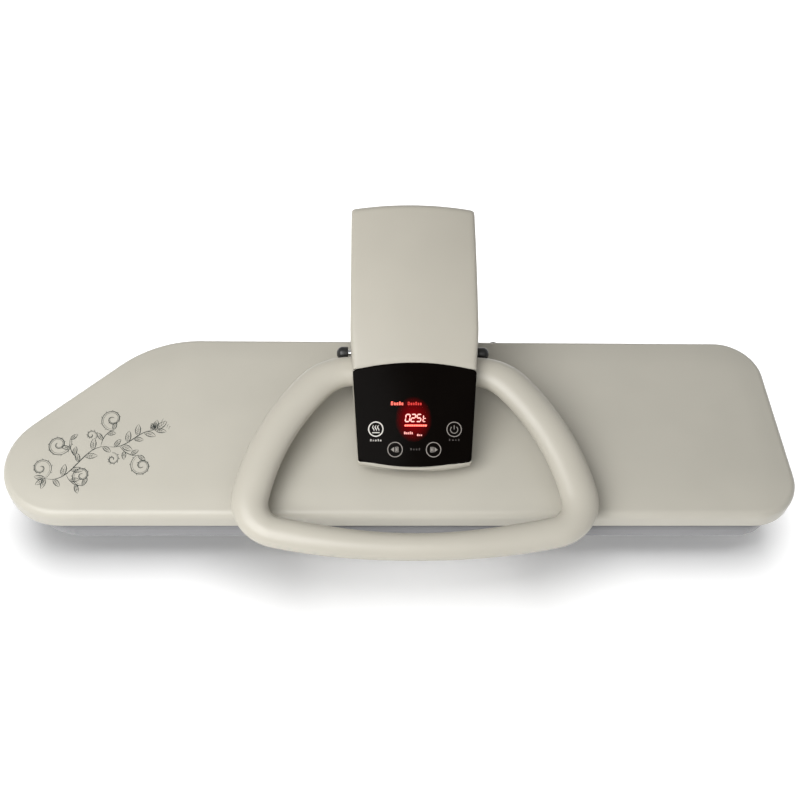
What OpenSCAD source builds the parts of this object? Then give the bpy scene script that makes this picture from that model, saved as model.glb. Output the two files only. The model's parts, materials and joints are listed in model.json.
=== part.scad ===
// Steam ironing press: a padded board on a low base, and a heated head
// carried by a lifting arm with a control panel and a loop handle.
// X runs along the plates, the front is -Y, Z is up, and z = 0 is the table.

/* [Plates] */
// Overall length of the pressing head
plate_l = 1014; // [940:1:1080]
// Overall depth of the pressing head
plate_d = 282; // [280:1:300]
// How far the plates' rear edge lies behind the arm's zero line
plate_rear = 147; // [145:0.5:149]
// Radius of the nose, front left
nose_r = 81; // [75:1:90]
// Angle between the slanted left edge and the front edge
nose_angle = 45; // [42:1:48]
// Radius of the shoulder, rear left
shoulder_r = 150; // [120:1:170]
// Radius of both right corners
end_r = 60; // [58:1:70]
// How far the rear right corner lies left of the front one
end_rake = 6; // [0:1:12]

/* [Head] */
// Height of the shell's lower rim above the table
shell_bottom = 88; // [86:0.5:90]
// Height of the shell's straight side and rounded edge
shell_h = 26; // [24:0.5:30]
// Radius of the shell's upper edge
shell_edge_r = 10; // [6:0.5:12]
// Rise of the shell's top over its edge
shell_crown = 3; // [1:0.5:4]
// Wall of the shell
shell_wall = 3; // [2.5:0.1:3.5]
// Thickness of the heating plate
hot_t = 9; // [7:0.5:10]
// How far the heating plate stands in from the shell's outside
hot_inset = 6; // [5:0.5:8]
// Radius of a steam hole
steam_r = 2; // [1.5:0.1:2.5]
// Steam holes in a row
steam_count = 11; // [7:1:11]
// Distance between steam holes in a row
steam_pitch = 36; // [30:1:37]
// Length of the steam chamber
chamber_l = 420; // [400:5:440]
// How far the steam chamber stands in from the plates' front edge
chamber_inset = 42; // [39:1:50]
// Height of the steam chamber
chamber_h = 12; // [10:0.5:13]
// Radius of the tubular heating element
element_r = 3.2; // [2.8:0.1:3.5]

/* [Board] */
// Gap between the closed head and the board
press_gap = 0.4; // [0.3:0.1:0.6]
// Thickness of the dressed board
board_h = 28; // [25:0.5:30]
// How far the board stands in from the head's rear edge; in front the two are flush
board_rear_inset = 10; // [8:0.5:14]
// How far the board stands in at the nose
board_nose_inset = 24; // [18:1:28]
// How far it stands in at the right end
board_end_inset = 24; // [18:1:28]
// Radius of the board's right corners
board_end_r = 50; // [46:1:56]
// Thickness of the cover cloth
cover_t = 1.5; // [1.2:0.1:1.8]
// Thickness of the pan's sheet
pan_t = 1.6; // [1.2:0.1:2]
// Height of the pan's upturned lip
pan_lip = 9; // [6:0.5:10]
// How far the hem reaches in under the board
hem_w = 34; // [25:1:40]

/* [Base] */
// Half the width of the base
base_half_w = 200; // [170:1:220]
// Distance of the base's front from the plates' middle
base_front = 90; // [70:1:110]
// Distance of the wide base's rear from the plates' middle
base_rear = 194; // [185:1:198]
// Distance of the tongue's rear from the plates' middle
tongue_rear = 254; // [252:1:260]
// Half the width of the tongue behind the arm
tongue_half_w = 76; // [74:1:85]
// Height of the base's top above the table
base_top = 48; // [46:0.5:49]
// Wall of the base mouldings
base_wall = 3; // [2.5:0.1:3.5]
// Corner radius of the base in plan
base_r = 34; // [25:1:45]
// Height of a rubber foot below the tray
foot_h = 6; // [5:0.5:8]
// Radius of a rubber foot
foot_r = 11; // [9:0.5:13]
// Thickness of the steel frame plate
frame_t = 2.5; // [2:0.1:3]
// Width of a board rail
rail_w = 24; // [20:1:28]
// Half the length of a board rail
rail_half_l = 315; // [280:5:325]

/* [Hinge] */
// Distance of the arm's hinge axis from the plates' middle
hinge_y = 208; // [206:0.5:210]
// Height of the hinge axis
hinge_z = 92; // [91:0.5:93]
// Radius of a hinge pin
pin_r = 7; // [6:0.5:8]
// Radius of the cowl round the hinge
cowl_r = 36; // [34:0.5:37]
// Half the width of the cowl
cowl_half_w = 62; // [61:0.5:63]
// Wall of the cowl
cowl_wall = 3; // [2.5:0.1:3.5]
// Running clearance of pins, all round
run_gap = 0.06; // [0.03:0.01:0.09]
// Thickness of the bracket's cheeks
cheek_t = 5; // [4:0.5:6]
// Wire radius of a lift spring
wire_r = 1.8; // [1.5:0.1:2]
// Mean radius of a lift spring
spring_r = 12.5; // [12:0.5:14]
// Turns of a lift spring
spring_turns = 5; // [4:1:7]

/* [Arm] */
// Distance of the arm's middle plane from the plates' middle, to the right
arm_x = 14; // [0:1:30]
// Half the width of the casing at its front lip
arm_front_w = 71; // [69:0.5:74]
// Half the width of the casing at the top of the panel
arm_panel_w = 78.5; // [77:0.5:80]
// Half the width of the casing at its rear
arm_rear_w = 81.5; // [81:0.5:84]
// Distance of the casing's front lip before the plates' middle
lip_y = 86; // [82:0.5:90]
// Height of the casing's front lip
lip_z = 144; // [143:0.5:150]
// Slope of the panel
panel_angle = 30; // [28:0.5:32]
// Distance of the panel's upper end behind the plates' middle
panel_top_y = 25; // [20:0.5:28]
// Radius of the casing's back, seen from the side
back_r = 700; // [650:5:800]
// Radius of the casing's rear upper edge
rear_edge_r = 14; // [10:0.5:18]
// Distance of the casing's rear from the plates' middle
arm_rear = 240; // [239:0.5:243]
// Height of the casing's underside
arm_under = 136; // [135:0.5:138]
// Wall of the casing
arm_wall = 3; // [2.5:0.1:3.2]
// Rise of the panel's middle over its sides
panel_crown = 4; // [2:0.5:5]
// Rise of the casing's middle over its sides at the rear
rear_crown = 9; // [5:0.5:11]
// How far the front lip bows forward in its middle
lip_bow = 9; // [6:0.5:11]
// Thickness of the panel's glass
glass_t = 3; // [2.5:0.1:3.5]
// Thickness of a lever plate
lever_t = 5; // [4:0.5:5.5]

/* [Shaft] */
// Distance of the head's cross shaft from the plates' middle
shaft_y = 75; // [74:0.5:77]
// Height of the cross shaft
shaft_z = 172; // [171:0.5:175]
// Radius of the cross shaft
shaft_r = 6; // [5:0.5:7]
// Radius of the domed knobs on the shaft's ends
knob_r = 8.5; // [8:0.5:10]
// Length of a domed knob
knob_l = 15; // [12:0.5:17]
// Height of the levelling rod's pin over the shaft
rod_pin_up = 32; // [30:0.5:34]
// Height of the levelling rod's base pin over the hinge axis
rod_base_up = 8; // [7:0.5:9]
// Radius of both pins of the levelling rod
rod_pin_r = 3; // [2.5:0.1:3.2]
// Slack of the levelling rod on its upper pin
rod_slack = 1.4; // [1.3:0.1:1.6]

/* [Handle] */
// Distance of the grip's middle before the plates' middle
grip_front = 186.5; // [183:0.5:190]
// Distance of the rear bar behind the plates' middle
grip_rear = 44; // [42:0.5:46]
// Height of the rear bar's middle
grip_z = 173.2; // [171:0.2:175]
// Rise of the loop for each millimetre towards the rear
grip_slope = 0.19; // [0.17:0.01:0.2]
// Radius of the bowed front bar
grip_front_r = 800; // [700:10:900]
// Turn of half the front bar
grip_front_turn = 12.3; // [11.5:0.1:13]
// Radius of the front corners
grip_corner_r = 40; // [36:1:44]
// Heading of the loop behind a front corner
grip_corner_heading = 101; // [99:0.5:103]
// Radius of the bowed sides
grip_side_r = 295; // [280:1:310]
// Heading of the loop behind a side
grip_side_heading = 132.7; // [130:0.1:135]
// Half the thickness of the loop
grip_half_t = 15; // [13:0.5:16]
// Radius of the steel tube inside
core_r = 8; // [7:0.5:9]
// Half the breadth at the front bar, front corner, side, rear corner and rear bar
grip_half_w = [16.5, 19, 23, 23, 20];

/* [Tank] */
// Half the width of the water tank
tank_half_w = 60; // [50:1:62]
// Distance of the tank's front from the plates' middle
tank_front = 122; // [118:1:130]
// Height of the tank's floor
tank_bottom = 190; // [188:0.5:194]
// Height of the tank with its lid
tank_h = 54; // [46:1:56]
// Wall of the tank
tank_wall = 2.5; // [2:0.1:3]
// Clearance of the tank in its bay
tank_gap = 0.6; // [0.4:0.1:1]

/* [Hidden] */
$fn = 48;
cut = 0.05;
gap = 0.3;
steps = 8;

function unit(v) = v / norm(v);
function reversed(l) = [for (i = [len(l) - 1:-1:0]) l[i]];
function mix(a, b, t) = a + (b - a) * t;
function ease(t) = let (u = min(1, max(0, t))) u * u * (3 - 2 * u);

// Centre of a corner's arc, from the corner and its two neighbours
function arc_centre(p, v, n, r) =
  let (a = unit(p - v), b = unit(n - v), half = acos(a * b) / 2)
  v + unit(a + b) * r / sin(half);

// Outline of rounded corners [x, y, radius], counter-clockwise, set in all round
function outline(corners, inset = 0, n = steps) = [
  for (i = [0:len(corners) - 1])
    let (
      m = len(corners), c0 = corners[(i + m - 1) % m], c1 = corners[i], c2 = corners[(i + 1) % m],
      p = [c0[0], c0[1]], v = [c1[0], c1[1]], q = [c2[0], c2[1]],
      d1 = unit(v - p), d2 = unit(q - v), c = arc_centre(p, v, q, c1[2]),
      start = atan2(-d1[0], d1[1]), turn = acos(min(1, d1 * d2)))
    for (k = [0:n])
      let (a = start + turn * k / n)
      c + (c1[2] - inset) * [cos(a), sin(a)]
];

// Closed skin over rings that all have the same number of points
module skin(rings, strips = false) {
  n = len(rings[0]);
  m = len(rings);
  sides = [for (i = [0:m - 2], j = [0:n - 1]) let (
    a = i * n + j, b = i * n + (j + 1) % n, c = b + n, d = a + n) each [[a, d, c], [a, c, b]]];
  half = n / 2;
  first = strips ? [for (j = [0:half - 2]) let (a = j, b = j + 1, c = n - 2 - j, d = n - 1 - j)
    each [[a, b, c], [a, c, d]]] : [[for (j = [0:n - 1]) j]];
  last = strips ? [for (t = first) reversed([for (k = t) k + (m - 1) * n])]
    : [[for (j = [n - 1:-1:0]) j + (m - 1) * n]];
  polyhedron([for (r = rings) each r], concat(sides, first, last), convexity = 6);
}

// Rounded slab made of levels [z, inset] of one outline
module levels(corners, list, n = steps)
  skin([for (l = list) [for (p = outline(corners, l[1], n)) [p[0], p[1], l[0]]]]);

// Extrudes a side view (y, z) along X
module along_x(x0, x1) translate([x0, 0, 0]) rotate([90, 0, 90]) linear_extrude(x1 - x0) children();

// Straight round bar along X
module bar_x(x0, x1, y, z, r) translate([x0, y, z]) rotate([0, 90, 0]) cylinder(h = x1 - x0, r = r);

// Plate links along X from x0 to x1: a round eye, and a web a little narrower than two eyes
module eye(p, r, x0, x1) bar_x(x0, x1, p[0], p[1], r);
module web(p, r1, q, r2, x0, x1) {
  d = unit(q - p);
  s = 0.96 * [-d[1], d[0]];
  along_x(x0, x1) polygon([p + s * r1, q + s * r2, q - s * r2, p - s * r1]);
}

// Repeats children on both sides of the arm's middle plane
module both_sides() {
  translate([arm_x, 0, 0]) children();
  translate([arm_x, 0, 0]) mirror([1, 0, 0]) children();
}

module at_arm() translate([arm_x, 0, 0]) children();

// Upright round bar at a place of the plan
module post(p, z, h, r) translate([p[0], p[1], z]) cylinder(h = h, r = r);

// Block on both sides of the arm's plane, from y0 to y1
module arm_block(half_w, y0, y1, z, h) translate([arm_x - half_w, y0, z]) cube([2 * half_w, y1 - y0, h]);

// Heights that follow from the driving sizes
shell_top = shell_bottom + shell_h;
board_top = shell_bottom - 4;
board_bottom = board_top - board_h;
hot_bottom = board_top + press_gap;
hot_top = hot_bottom + hot_t;
chamber_top = hot_top + chamber_h;
tray_floor = foot_h + base_wall;
frame_top = tray_floor + frame_t;
pan_bottom = board_bottom + cover_t + gap;
pad_bottom = pan_bottom + pan_t + gap;
pad_top = board_top - cover_t - gap;

// Plan of the plates
plate_front = plate_rear - plate_d;
plate_mid = plate_rear - plate_d / 2;
nose_c = [-plate_l / 2 + nose_r, plate_front + nose_r];
nose_x = nose_c[0] - nose_r / tan(nose_angle / 2);
shoulder_x = nose_x + plate_d / tan(nose_angle);
end_x = plate_l / 2 + end_r * end_rake / plate_d;
plate_corners = [
  [nose_x, plate_front, nose_r], [end_x, plate_front, end_r],
  [end_x - end_rake, plate_rear, end_r], [shoulder_x, plate_rear, shoulder_r]
];
board_left = shoulder_x + board_nose_inset - board_rear_inset / tan(nose_angle);
board_rear = plate_rear - board_rear_inset;
board_corners = [
  [nose_x + board_nose_inset, plate_front, nose_r], [end_x - board_end_inset, plate_front, board_end_r],
  [end_x - end_rake - board_end_inset, board_rear, board_end_r], [board_left, board_rear, shoulder_r]
];

// The part's origin is the middle of its box on the table
grip_reach = grip_front + grip_half_w[0];
mid_y = (tongue_rear - grip_reach) / 2;
module placed() translate([0, -mid_y, 0]) children();

// Plan of the base
base_corners = [
  [arm_x - base_half_w, -base_front, base_r], [arm_x + base_half_w, -base_front, base_r],
  [arm_x + base_half_w, base_rear, base_r], [arm_x - base_half_w, base_rear, base_r]
];
tongue_r = 14;
tongue_corners = [
  [arm_x - tongue_half_w, base_rear - 3 * base_r, tongue_r],
  [arm_x + tongue_half_w, base_rear - 3 * base_r, tongue_r],
  [arm_x + tongue_half_w, tongue_rear, tongue_r], [arm_x - tongue_half_w, tongue_rear, tongue_r]
];
foot_side = base_half_w - 28;
tongue_foot = tongue_half_w - 20;
foot_places = [
  [arm_x - foot_side, -base_front + 28], [arm_x + foot_side, -base_front + 28],
  [arm_x - foot_side, base_rear - 28], [arm_x + foot_side, base_rear - 28],
  [arm_x - tongue_foot, tongue_rear - 20], [arm_x + tongue_foot, tongue_rear - 20]
];
foot_peg_r = foot_r / 2;
screw_r = 1.6;
screw_head_r = 3.4;
screw_head_h = 2.2;
screw_fit = 0.15;
base_screw_places = [
  [arm_x - base_half_w + 22, 50], [arm_x + base_half_w - 22, 50],
  [arm_x - base_half_w / 2, -base_front + 16], [arm_x + base_half_w / 2, -base_front + 16],
  [arm_x - 0.6 * base_half_w, base_rear - 16], [arm_x + 0.6 * base_half_w, base_rear - 16]
];
pillar_r = 8;
rail_front = -base_front + 35;
rail_rear = plate_rear - 63;
pillar_x = 110;
pillar_places = [
  [arm_x - pillar_x, rail_front], [arm_x + pillar_x, rail_front],
  [arm_x - pillar_x, rail_rear], [arm_x + pillar_x, rail_rear]
];

module foot(p) translate([p[0], p[1], 0]) {
  rotate_extrude() polygon([[0, 0], [foot_r - 1, 0], [foot_r, 1.5], [foot_r - 1.5, foot_h], [0, foot_h]]);
  translate([0, 0, foot_h - cut]) cylinder(h = base_wall + cut, r = foot_peg_r);
  translate([0, 0, tray_floor]) cylinder(h = 1.4, r1 = foot_peg_r + 1.2, r2 = foot_peg_r);
}

module rubber_feet() placed() color([0.09, 0.09, 0.09]) for (p = foot_places) foot(p);

// Plan of the whole base, set in all round
module base_plan(inset = 0) {
  polygon(outline(base_corners, inset));
  polygon(outline(tongue_corners, inset));
}

tray_top = base_top - base_wall;
module base_tray() placed() color([0.78, 0.76, 0.70]) difference() {
  translate([0, 0, foot_h]) linear_extrude(tray_top - foot_h) base_plan();
  translate([0, 0, tray_floor]) linear_extrude(tray_top) base_plan(base_wall);
  for (p = foot_places) translate([p[0], p[1], foot_h - 1]) cylinder(h = base_wall + 2, r = foot_peg_r + 0.1);
  for (p = base_screw_places) translate([p[0], p[1], foot_h - 1]) {
    cylinder(h = base_wall + 2, r = screw_r + screw_fit);
    cylinder(h = 1 + screw_head_h / 2, r = screw_head_r + screw_fit);
  }
  translate([gland_x, base_rear - 10, gland_z]) rotate([-90, 0, 0]) cylinder(h = 20, r = gland_r + 0.1);
}

module base_screws() placed() color([0.6, 0.6, 0.62]) for (p = base_screw_places)
  translate([p[0], p[1], foot_h]) {
    cylinder(h = screw_head_h / 2, r = screw_head_r);
    cylinder(h = tray_top - foot_h - 4, r = screw_r);
  }

boss_r = 4.5;
cowl_front = hinge_y - cowl_r;
cowl_rear = hinge_y + cowl_r;
module base_cover() placed() color([0.80, 0.78, 0.72]) {
  difference() {
    translate([0, 0, tray_top]) linear_extrude(base_wall) base_plan();
    translate([arm_x - cowl_half_w + cowl_wall, cowl_front + cowl_wall, tray_top - 1])
      cube([2 * (cowl_half_w - cowl_wall), 2 * (cowl_r - cowl_wall), base_wall + 2]);
    for (p = pillar_places) post(p, tray_top - 1, base_wall + 2, pillar_r + 0.2);
  }
  for (p = base_screw_places) translate([p[0], p[1], 0]) difference() {
    translate([0, 0, tray_floor + gap]) cylinder(h = tray_top - tray_floor - gap + cut, r = boss_r);
    translate([0, 0, tray_floor]) cylinder(h = tray_top - tray_floor - 3, r = screw_r + screw_fit);
  }
}

frame_half_w = 150;
module base_frame() placed() color([0.62, 0.63, 0.64]) translate([0, 0, tray_floor]) linear_extrude(frame_t)
  difference() {
    union() {
      translate([arm_x - frame_half_w, -base_front + 30])
        square([2 * frame_half_w, base_rear + base_front - 50]);
      translate([arm_x - cheek_in + 8, 0]) square([2 * cheek_in - 16, tongue_rear - 12]);
    }
    for (p = foot_places) translate(p) circle(foot_peg_r + 3);
    for (p = base_screw_places) translate(p) circle(boss_r + 1);
  }

module board_pillars() placed() color([0.60, 0.61, 0.62])
  for (p = pillar_places) translate([p[0], p[1], frame_top])
  cylinder(h = base_top - frame_top, r = pillar_r);

// Two channels that carry the pan over the base
rail_web = 2;
module board_rails() placed() color([0.60, 0.61, 0.62]) for (y = [rail_front, rail_rear])
  translate([arm_x - rail_half_l, y - rail_w / 2, base_top]) difference() {
    cube([2 * rail_half_l, rail_w, pan_bottom - base_top]);
    translate([-1, rail_web, rail_web])
      cube([2 * rail_half_l + 2, rail_w - 2 * rail_web, pan_bottom - base_top - 2 * rail_web]);
  }

pan_inset = cover_t + gap + 3.2;
vent_r = 5;
vent_pitch = 60;
vent_left = -plate_l / 2 + 127;
vent_right = plate_l / 2 - 47;
vent_rows = [plate_front + 35, -10, 45, plate_rear - 25];
module board_pan() placed() color([0.66, 0.67, 0.68]) difference() {
  levels(board_corners, [
    [pan_bottom, pan_inset + 2], [pan_bottom + 2, pan_inset], [pan_bottom + pan_lip, pan_inset]
  ]);
  translate([0, 0, pan_bottom + pan_t]) linear_extrude(pan_lip)
    polygon(outline(board_corners, pan_inset + pan_t));
  for (x = [vent_left:vent_pitch:vent_right], y = vent_rows)
    if (x - vent_left > y - 40) post([x, y], pan_bottom - 1, pan_t + 2, vent_r);
}

pad_inset = pan_inset + pan_t + gap;
pad_side = cover_t + 2 * gap;
lip_top = pan_bottom + pan_lip + gap;
module board_pad() placed() color([0.86, 0.84, 0.78]) levels(board_corners, [
  [pad_bottom, pad_inset + 1], [pad_bottom + 2, pad_inset], [lip_top, pad_inset], [lip_top + 2, pad_side + 1],
  [pad_top - 8, pad_side], [pad_top - 4, pad_side + 0.9], [pad_top - 2, pad_side + 2.9],
  [pad_top, pad_side + 9]]);

cover_levels = [
  [0, 6], [1.5, 2.6], [5, 0.6], [9, 0],
  [board_h - 8, 0], [board_h - 3.4, 1.2], [board_h - 1.1, 3.6], [board_h, 8.4]
];
module board_cover() placed() color([0.60, 0.60, 0.66]) difference() {
  levels(board_corners, [for (l = cover_levels) [board_bottom + l[0], l[1]]]);
  levels(board_corners, [for (l = cover_levels) [
    board_bottom + cover_t + l[0] * (board_h - 2 * cover_t) / board_h, cover_t + l[1] * 0.85]]);
  translate([0, 0, board_bottom - 1]) linear_extrude(cover_t + 2)
    polygon(outline(board_corners, hem_w));
}

// Hinge
hinge = [hinge_y, hinge_z];
cheek_in = 52;
clevis_in = 11;
clevis_t = 6;
rod_pin_end = clevis_in + 2.5;
pin_in = rod_pin_end + 0.5;
lever_in = cowl_half_w + 4;
lever_out = lever_in + lever_t;
pin_out = lever_out + 4.2;
clip_t = 1.2;
bush_wall = 1.5;
bracket_t = 3;
seat_gap = 0.05;
bracket_front = hinge_y - 28;
bracket_rear = hinge_y + 28;
rod_base = [hinge_y, hinge_z + rod_base_up];
press_fit = 0.02;

module cheek_view(r) union() {
  translate(hinge) circle(r);
  polygon([[bracket_front, frame_top], [bracket_rear, frame_top], hinge + [r, 0], hinge + [-r, 0]]);
}

module hinge_bracket() placed() color([0.58, 0.59, 0.60]) difference() {
  union() {
    both_sides() along_x(cheek_in, cheek_in + cheek_t) cheek_view(17);
    both_sides() along_x(clevis_in, clevis_in + clevis_t) cheek_view(17);
    translate([arm_x - cheek_in - cheek_t, bracket_front, frame_top])
      cube([2 * (cheek_in + cheek_t), bracket_rear - bracket_front, bracket_t]);
  }
  both_sides() bar_x(pin_in, 70, hinge_y, hinge_z, pin_r + press_fit);
  bar_x(arm_x - rod_pin_end, arm_x + rod_pin_end, rod_base[0], rod_base[1], rod_pin_r + press_fit);
  bar_x(arm_x - cheek_in - cheek_t - 1, arm_x - cheek_in + 1, lock_at[0], lock_at[1], lock_r + 0.2);
}

module hinge_pins() placed() color([0.75, 0.76, 0.78]) both_sides() difference() {
  bar_x(pin_in, pin_out, hinge_y, hinge_z, pin_r);
  difference() {
    bar_x(pin_out - 2.6, pin_out - 2.6 + clip_t, hinge_y, hinge_z, pin_r + 1);
    bar_x(pin_out - 3, pin_out, hinge_y, hinge_z, pin_r - 1);
  }
}

module hinge_clips() placed() color([0.2, 0.2, 0.21]) both_sides()
  along_x(pin_out - 2.6 + 0.1, pin_out - 2.6 + clip_t - 0.1) translate(hinge) difference() {
    circle(pin_r + 3.5);
    circle(pin_r - 1 + 0.02);
    translate([-1.5, 0]) square([3, 2 * pin_r]);
  }

lock_angle = -44;
lock_arm = 27;
lock_at = hinge + lock_arm * [cos(lock_angle), sin(lock_angle)];
lock_r = 3;
lock_travel = 9;
module hinge_cowl() placed() color([0.80, 0.78, 0.72]) difference() {
  at_arm() along_x(-cowl_half_w, cowl_half_w) union() {
    translate(hinge) circle(cowl_r);
    translate([cowl_front, base_top]) square([2 * cowl_r, hinge_z - base_top]);
  }
  at_arm() along_x(-cowl_half_w + cowl_wall, cowl_half_w - cowl_wall) union() {
    translate(hinge) circle(cowl_r - cowl_wall);
    translate([cowl_front + cowl_wall, base_top - 1])
      square([2 * (cowl_r - cowl_wall), hinge_z - base_top + 1]);
  }
  // The mouth towards the arm, for the rod and the spring legs
  at_arm() along_x(-cowl_half_w + 7, cowl_half_w - 7)
    polygon([hinge, hinge + [-80, 8], hinge + [-80, 80], hinge + [20, 80], hinge + [14, 24]]);
  bar_x(arm_x - cowl_half_w - 1, arm_x + cowl_half_w + 1, hinge_y, hinge_z, pin_r + 0.3);
  // The lock's hole in the side and its slot in the rear
  bar_x(arm_x - cowl_half_w - 1, arm_x - cowl_half_w + cowl_wall + 1, lock_at[0], lock_at[1], lock_r + 0.2);
  translate([arm_x - lock_knob_x - lock_travel - 4, cowl_rear - cowl_wall - 1, lock_at[1] - 2.2])
    cube([lock_travel + 8, cowl_wall + 2, 4.4]);
}

// Lift springs: coils round the pins, one leg down in the bracket, one under the tie
spring_in = clevis_in + clevis_t + 3;
spring_pitch = 2 * wire_r + 1;
tie_at = [166, 156];
tie_r = 6;
leg_to = tie_at + [1, -tie_r - wire_r - gap];
leg_dir = leg_to - hinge;
leg_angle = atan2(leg_dir[1], leg_dir[0]) + acos(spring_r / norm(leg_dir));
coil_steps = 8 * (spring_turns + 1);
coil_sweep = 360 * (spring_turns + 1) + 180 - leg_angle;
coil_points = [for (k = [0:coil_steps]) let (a = leg_angle + coil_sweep * k / coil_steps)
  [spring_in + spring_pitch * coil_sweep / 360 * k / coil_steps,
    hinge_y + spring_r * cos(a), hinge_z + spring_r * sin(a)]];
coil_end = coil_points[coil_steps];
spring_points = concat(
  [[spring_in, leg_to[0], leg_to[1]]], coil_points,
  [[coil_end[0], coil_end[1], frame_top + bracket_t + seat_gap]]);
coil_gap = spring_pitch - 2 * wire_r;
echo(str("least gap between the turns of a lift spring ", coil_gap));

// Tube of n sides through points that have no sharp turn
module tube(points, r, n = 6) {
  m = len(points);
  skin([for (i = [0:m - 1]) let (
    t = unit(points[min(i + 1, m - 1)] - points[max(i - 1, 0)]),
    s = unit(cross(t, abs(t[0]) < 0.9 ? [1, 0, 0] : [0, 0, 1])), u = cross(t, s))
    [for (k = [0:n - 1]) let (a = 360 * k / n) points[i] + r * (s * cos(a) + u * sin(a))]]);
}

module lift_springs() placed() color([0.35, 0.36, 0.38]) both_sides() tube(spring_points, wire_r);

gland_x = arm_x + 130;
gland_z = 28;
gland_r = 9;
module cord_gland() placed() color([0.12, 0.12, 0.12])
  translate([gland_x, base_rear, gland_z]) rotate([-90, 0, 0]) difference() {
  union() {
    translate([0, 0, -base_wall - 3]) cylinder(h = 3, r = gland_r + 2.5);
    translate([0, 0, -base_wall - cut]) cylinder(h = base_wall + 2 * cut, r = gland_r);
    cylinder(h = 3, r = gland_r + 2.5);
    translate([0, 0, 3 - cut]) cylinder(h = 12, r1 = gland_r - 1, r2 = gland_r - 3);
  }
  translate([0, 0, -10]) cylinder(h = 40, r = 4);
}

// Transport lock: a bolt that slides towards the left lever, moved by a knob at the rear
lock_tip = cowl_half_w - 1;
lock_knob_x = 40;
module lock_bolt() placed() color([0.62, 0.63, 0.64]) {
  bar_x(arm_x - lock_tip, arm_x - lock_knob_x, lock_at[0], lock_at[1], lock_r);
  translate([arm_x - lock_knob_x - 3, lock_at[0], lock_at[1] - 1.5])
    cube([6, cowl_rear + 1 - lock_at[0], 3]);
}

module lock_knob() placed() color([0.12, 0.12, 0.12])
  translate([arm_x - lock_knob_x - 5, cowl_rear + 1, lock_at[1] - 6]) cube([10, 6, 12]);

// Pressing head
module plate_slab(z, h, inset) translate([0, 0, z]) linear_extrude(h) polygon(outline(plate_corners, inset));

steam_rows = [[-70, 0], [-35, 0.5], [35, 0.5], [70, 0]];
head_screw_inset = 20.6;
screw_row_front = plate_front + head_screw_inset;
screw_row_rear = plate_rear - head_screw_inset;
head_screw_places = [
  [nose_c[0], screw_row_front], [-200, screw_row_front], [arm_x, screw_row_front], [240, screw_row_front],
  [plate_l / 2 - end_r, screw_row_front], [plate_l / 2 - end_r, screw_row_rear], [240, screw_row_rear],
  [-120, screw_row_rear], [nose_c[0] - nose_r + head_screw_inset, nose_c[1]]
];
module heating_plate() placed() color([0.72, 0.73, 0.74]) difference() {
  plate_slab(hot_bottom, hot_t, hot_inset);
  for (row = steam_rows, i = [0:steam_count - 1])
    translate([arm_x + (i - (steam_count - 1) / 2 + row[1] - 0.25) * steam_pitch, chamber_y + row[0], 0])
      translate([0, 0, hot_bottom - 1]) cylinder(h = hot_t + 2, r = steam_r, $fn = 16);
  for (p = head_screw_places) translate([p[0], p[1], hot_bottom - 1]) {
    cylinder(h = hot_t + 2, r = screw_r + screw_fit);
    cylinder(h = 1 + screw_head_h, r = screw_head_r + screw_fit);
  }
}

module head_screws() placed() color([0.6, 0.6, 0.62])
  for (p = head_screw_places) translate([p[0], p[1], hot_bottom + 0.2]) {
    cylinder(h = screw_head_h - 0.2, r = screw_head_r);
    cylinder(h = shell_top - shell_wall - hot_bottom - 3, r = screw_r);
  }

element_left = -380;
element_right = 330;
element_inset = 29.5;
element_y = plate_d / 2 - element_inset;
element_z = hot_top + element_r + 0.1;
module element_run(y, x0) bar_x(x0, element_right, y, element_z, element_r);
module heating_element() placed() color([0.42, 0.36, 0.30]) {
  element_run(plate_mid + element_y, element_left + 140);
  element_run(plate_mid - element_y, element_left);
  translate([element_right, plate_mid, element_z]) rotate([0, 0, -90]) rotate_extrude(angle = 180)
    translate([element_y, 0]) circle(element_r, $fn = 24);
}

yoke_x = 24;
yoke_t = 4;
yoke_y0 = shaft_y - 26;
yoke_y1 = shaft_y + 26;
shaft = [shaft_y, shaft_z];
rod_top = shaft + [0, rod_pin_up];
chamber_rear = yoke_y1 + 0.8;
chamber_front = plate_front + chamber_inset;
chamber_y = (chamber_front + chamber_rear) / 2;
chamber_wall = 4;
module steam_chamber() placed() color([0.68, 0.69, 0.70]) difference() {
  arm_block(chamber_l / 2, chamber_front, chamber_rear, hot_top, chamber_h);
  arm_block(chamber_l / 2 - chamber_wall, chamber_front + chamber_wall,
    chamber_rear - chamber_wall, hot_top - 1, chamber_h - 2);
  translate([elbow_x, elbow_y, chamber_top - 5]) cylinder(h = 10, r = elbow_r);
  for (p = yoke_screw_places) post(p, chamber_top - 5, 10, screw_r + screw_fit);
}

elbow_x = arm_x + 46;
elbow_y = shaft_y - 12;
elbow_r = 4;
module steam_elbow() placed() color([0.72, 0.60, 0.32]) difference() {
  union() {
    translate([elbow_x, elbow_y, chamber_top - 3]) cylinder(h = 14, r = elbow_r - 0.02);
    translate([elbow_x, elbow_y, chamber_top]) cylinder(h = 4, r = elbow_r + 3, $fn = 6);
  }
  translate([elbow_x, elbow_y, chamber_top - 4]) cylinder(h = 20, r = 2);
}

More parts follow.
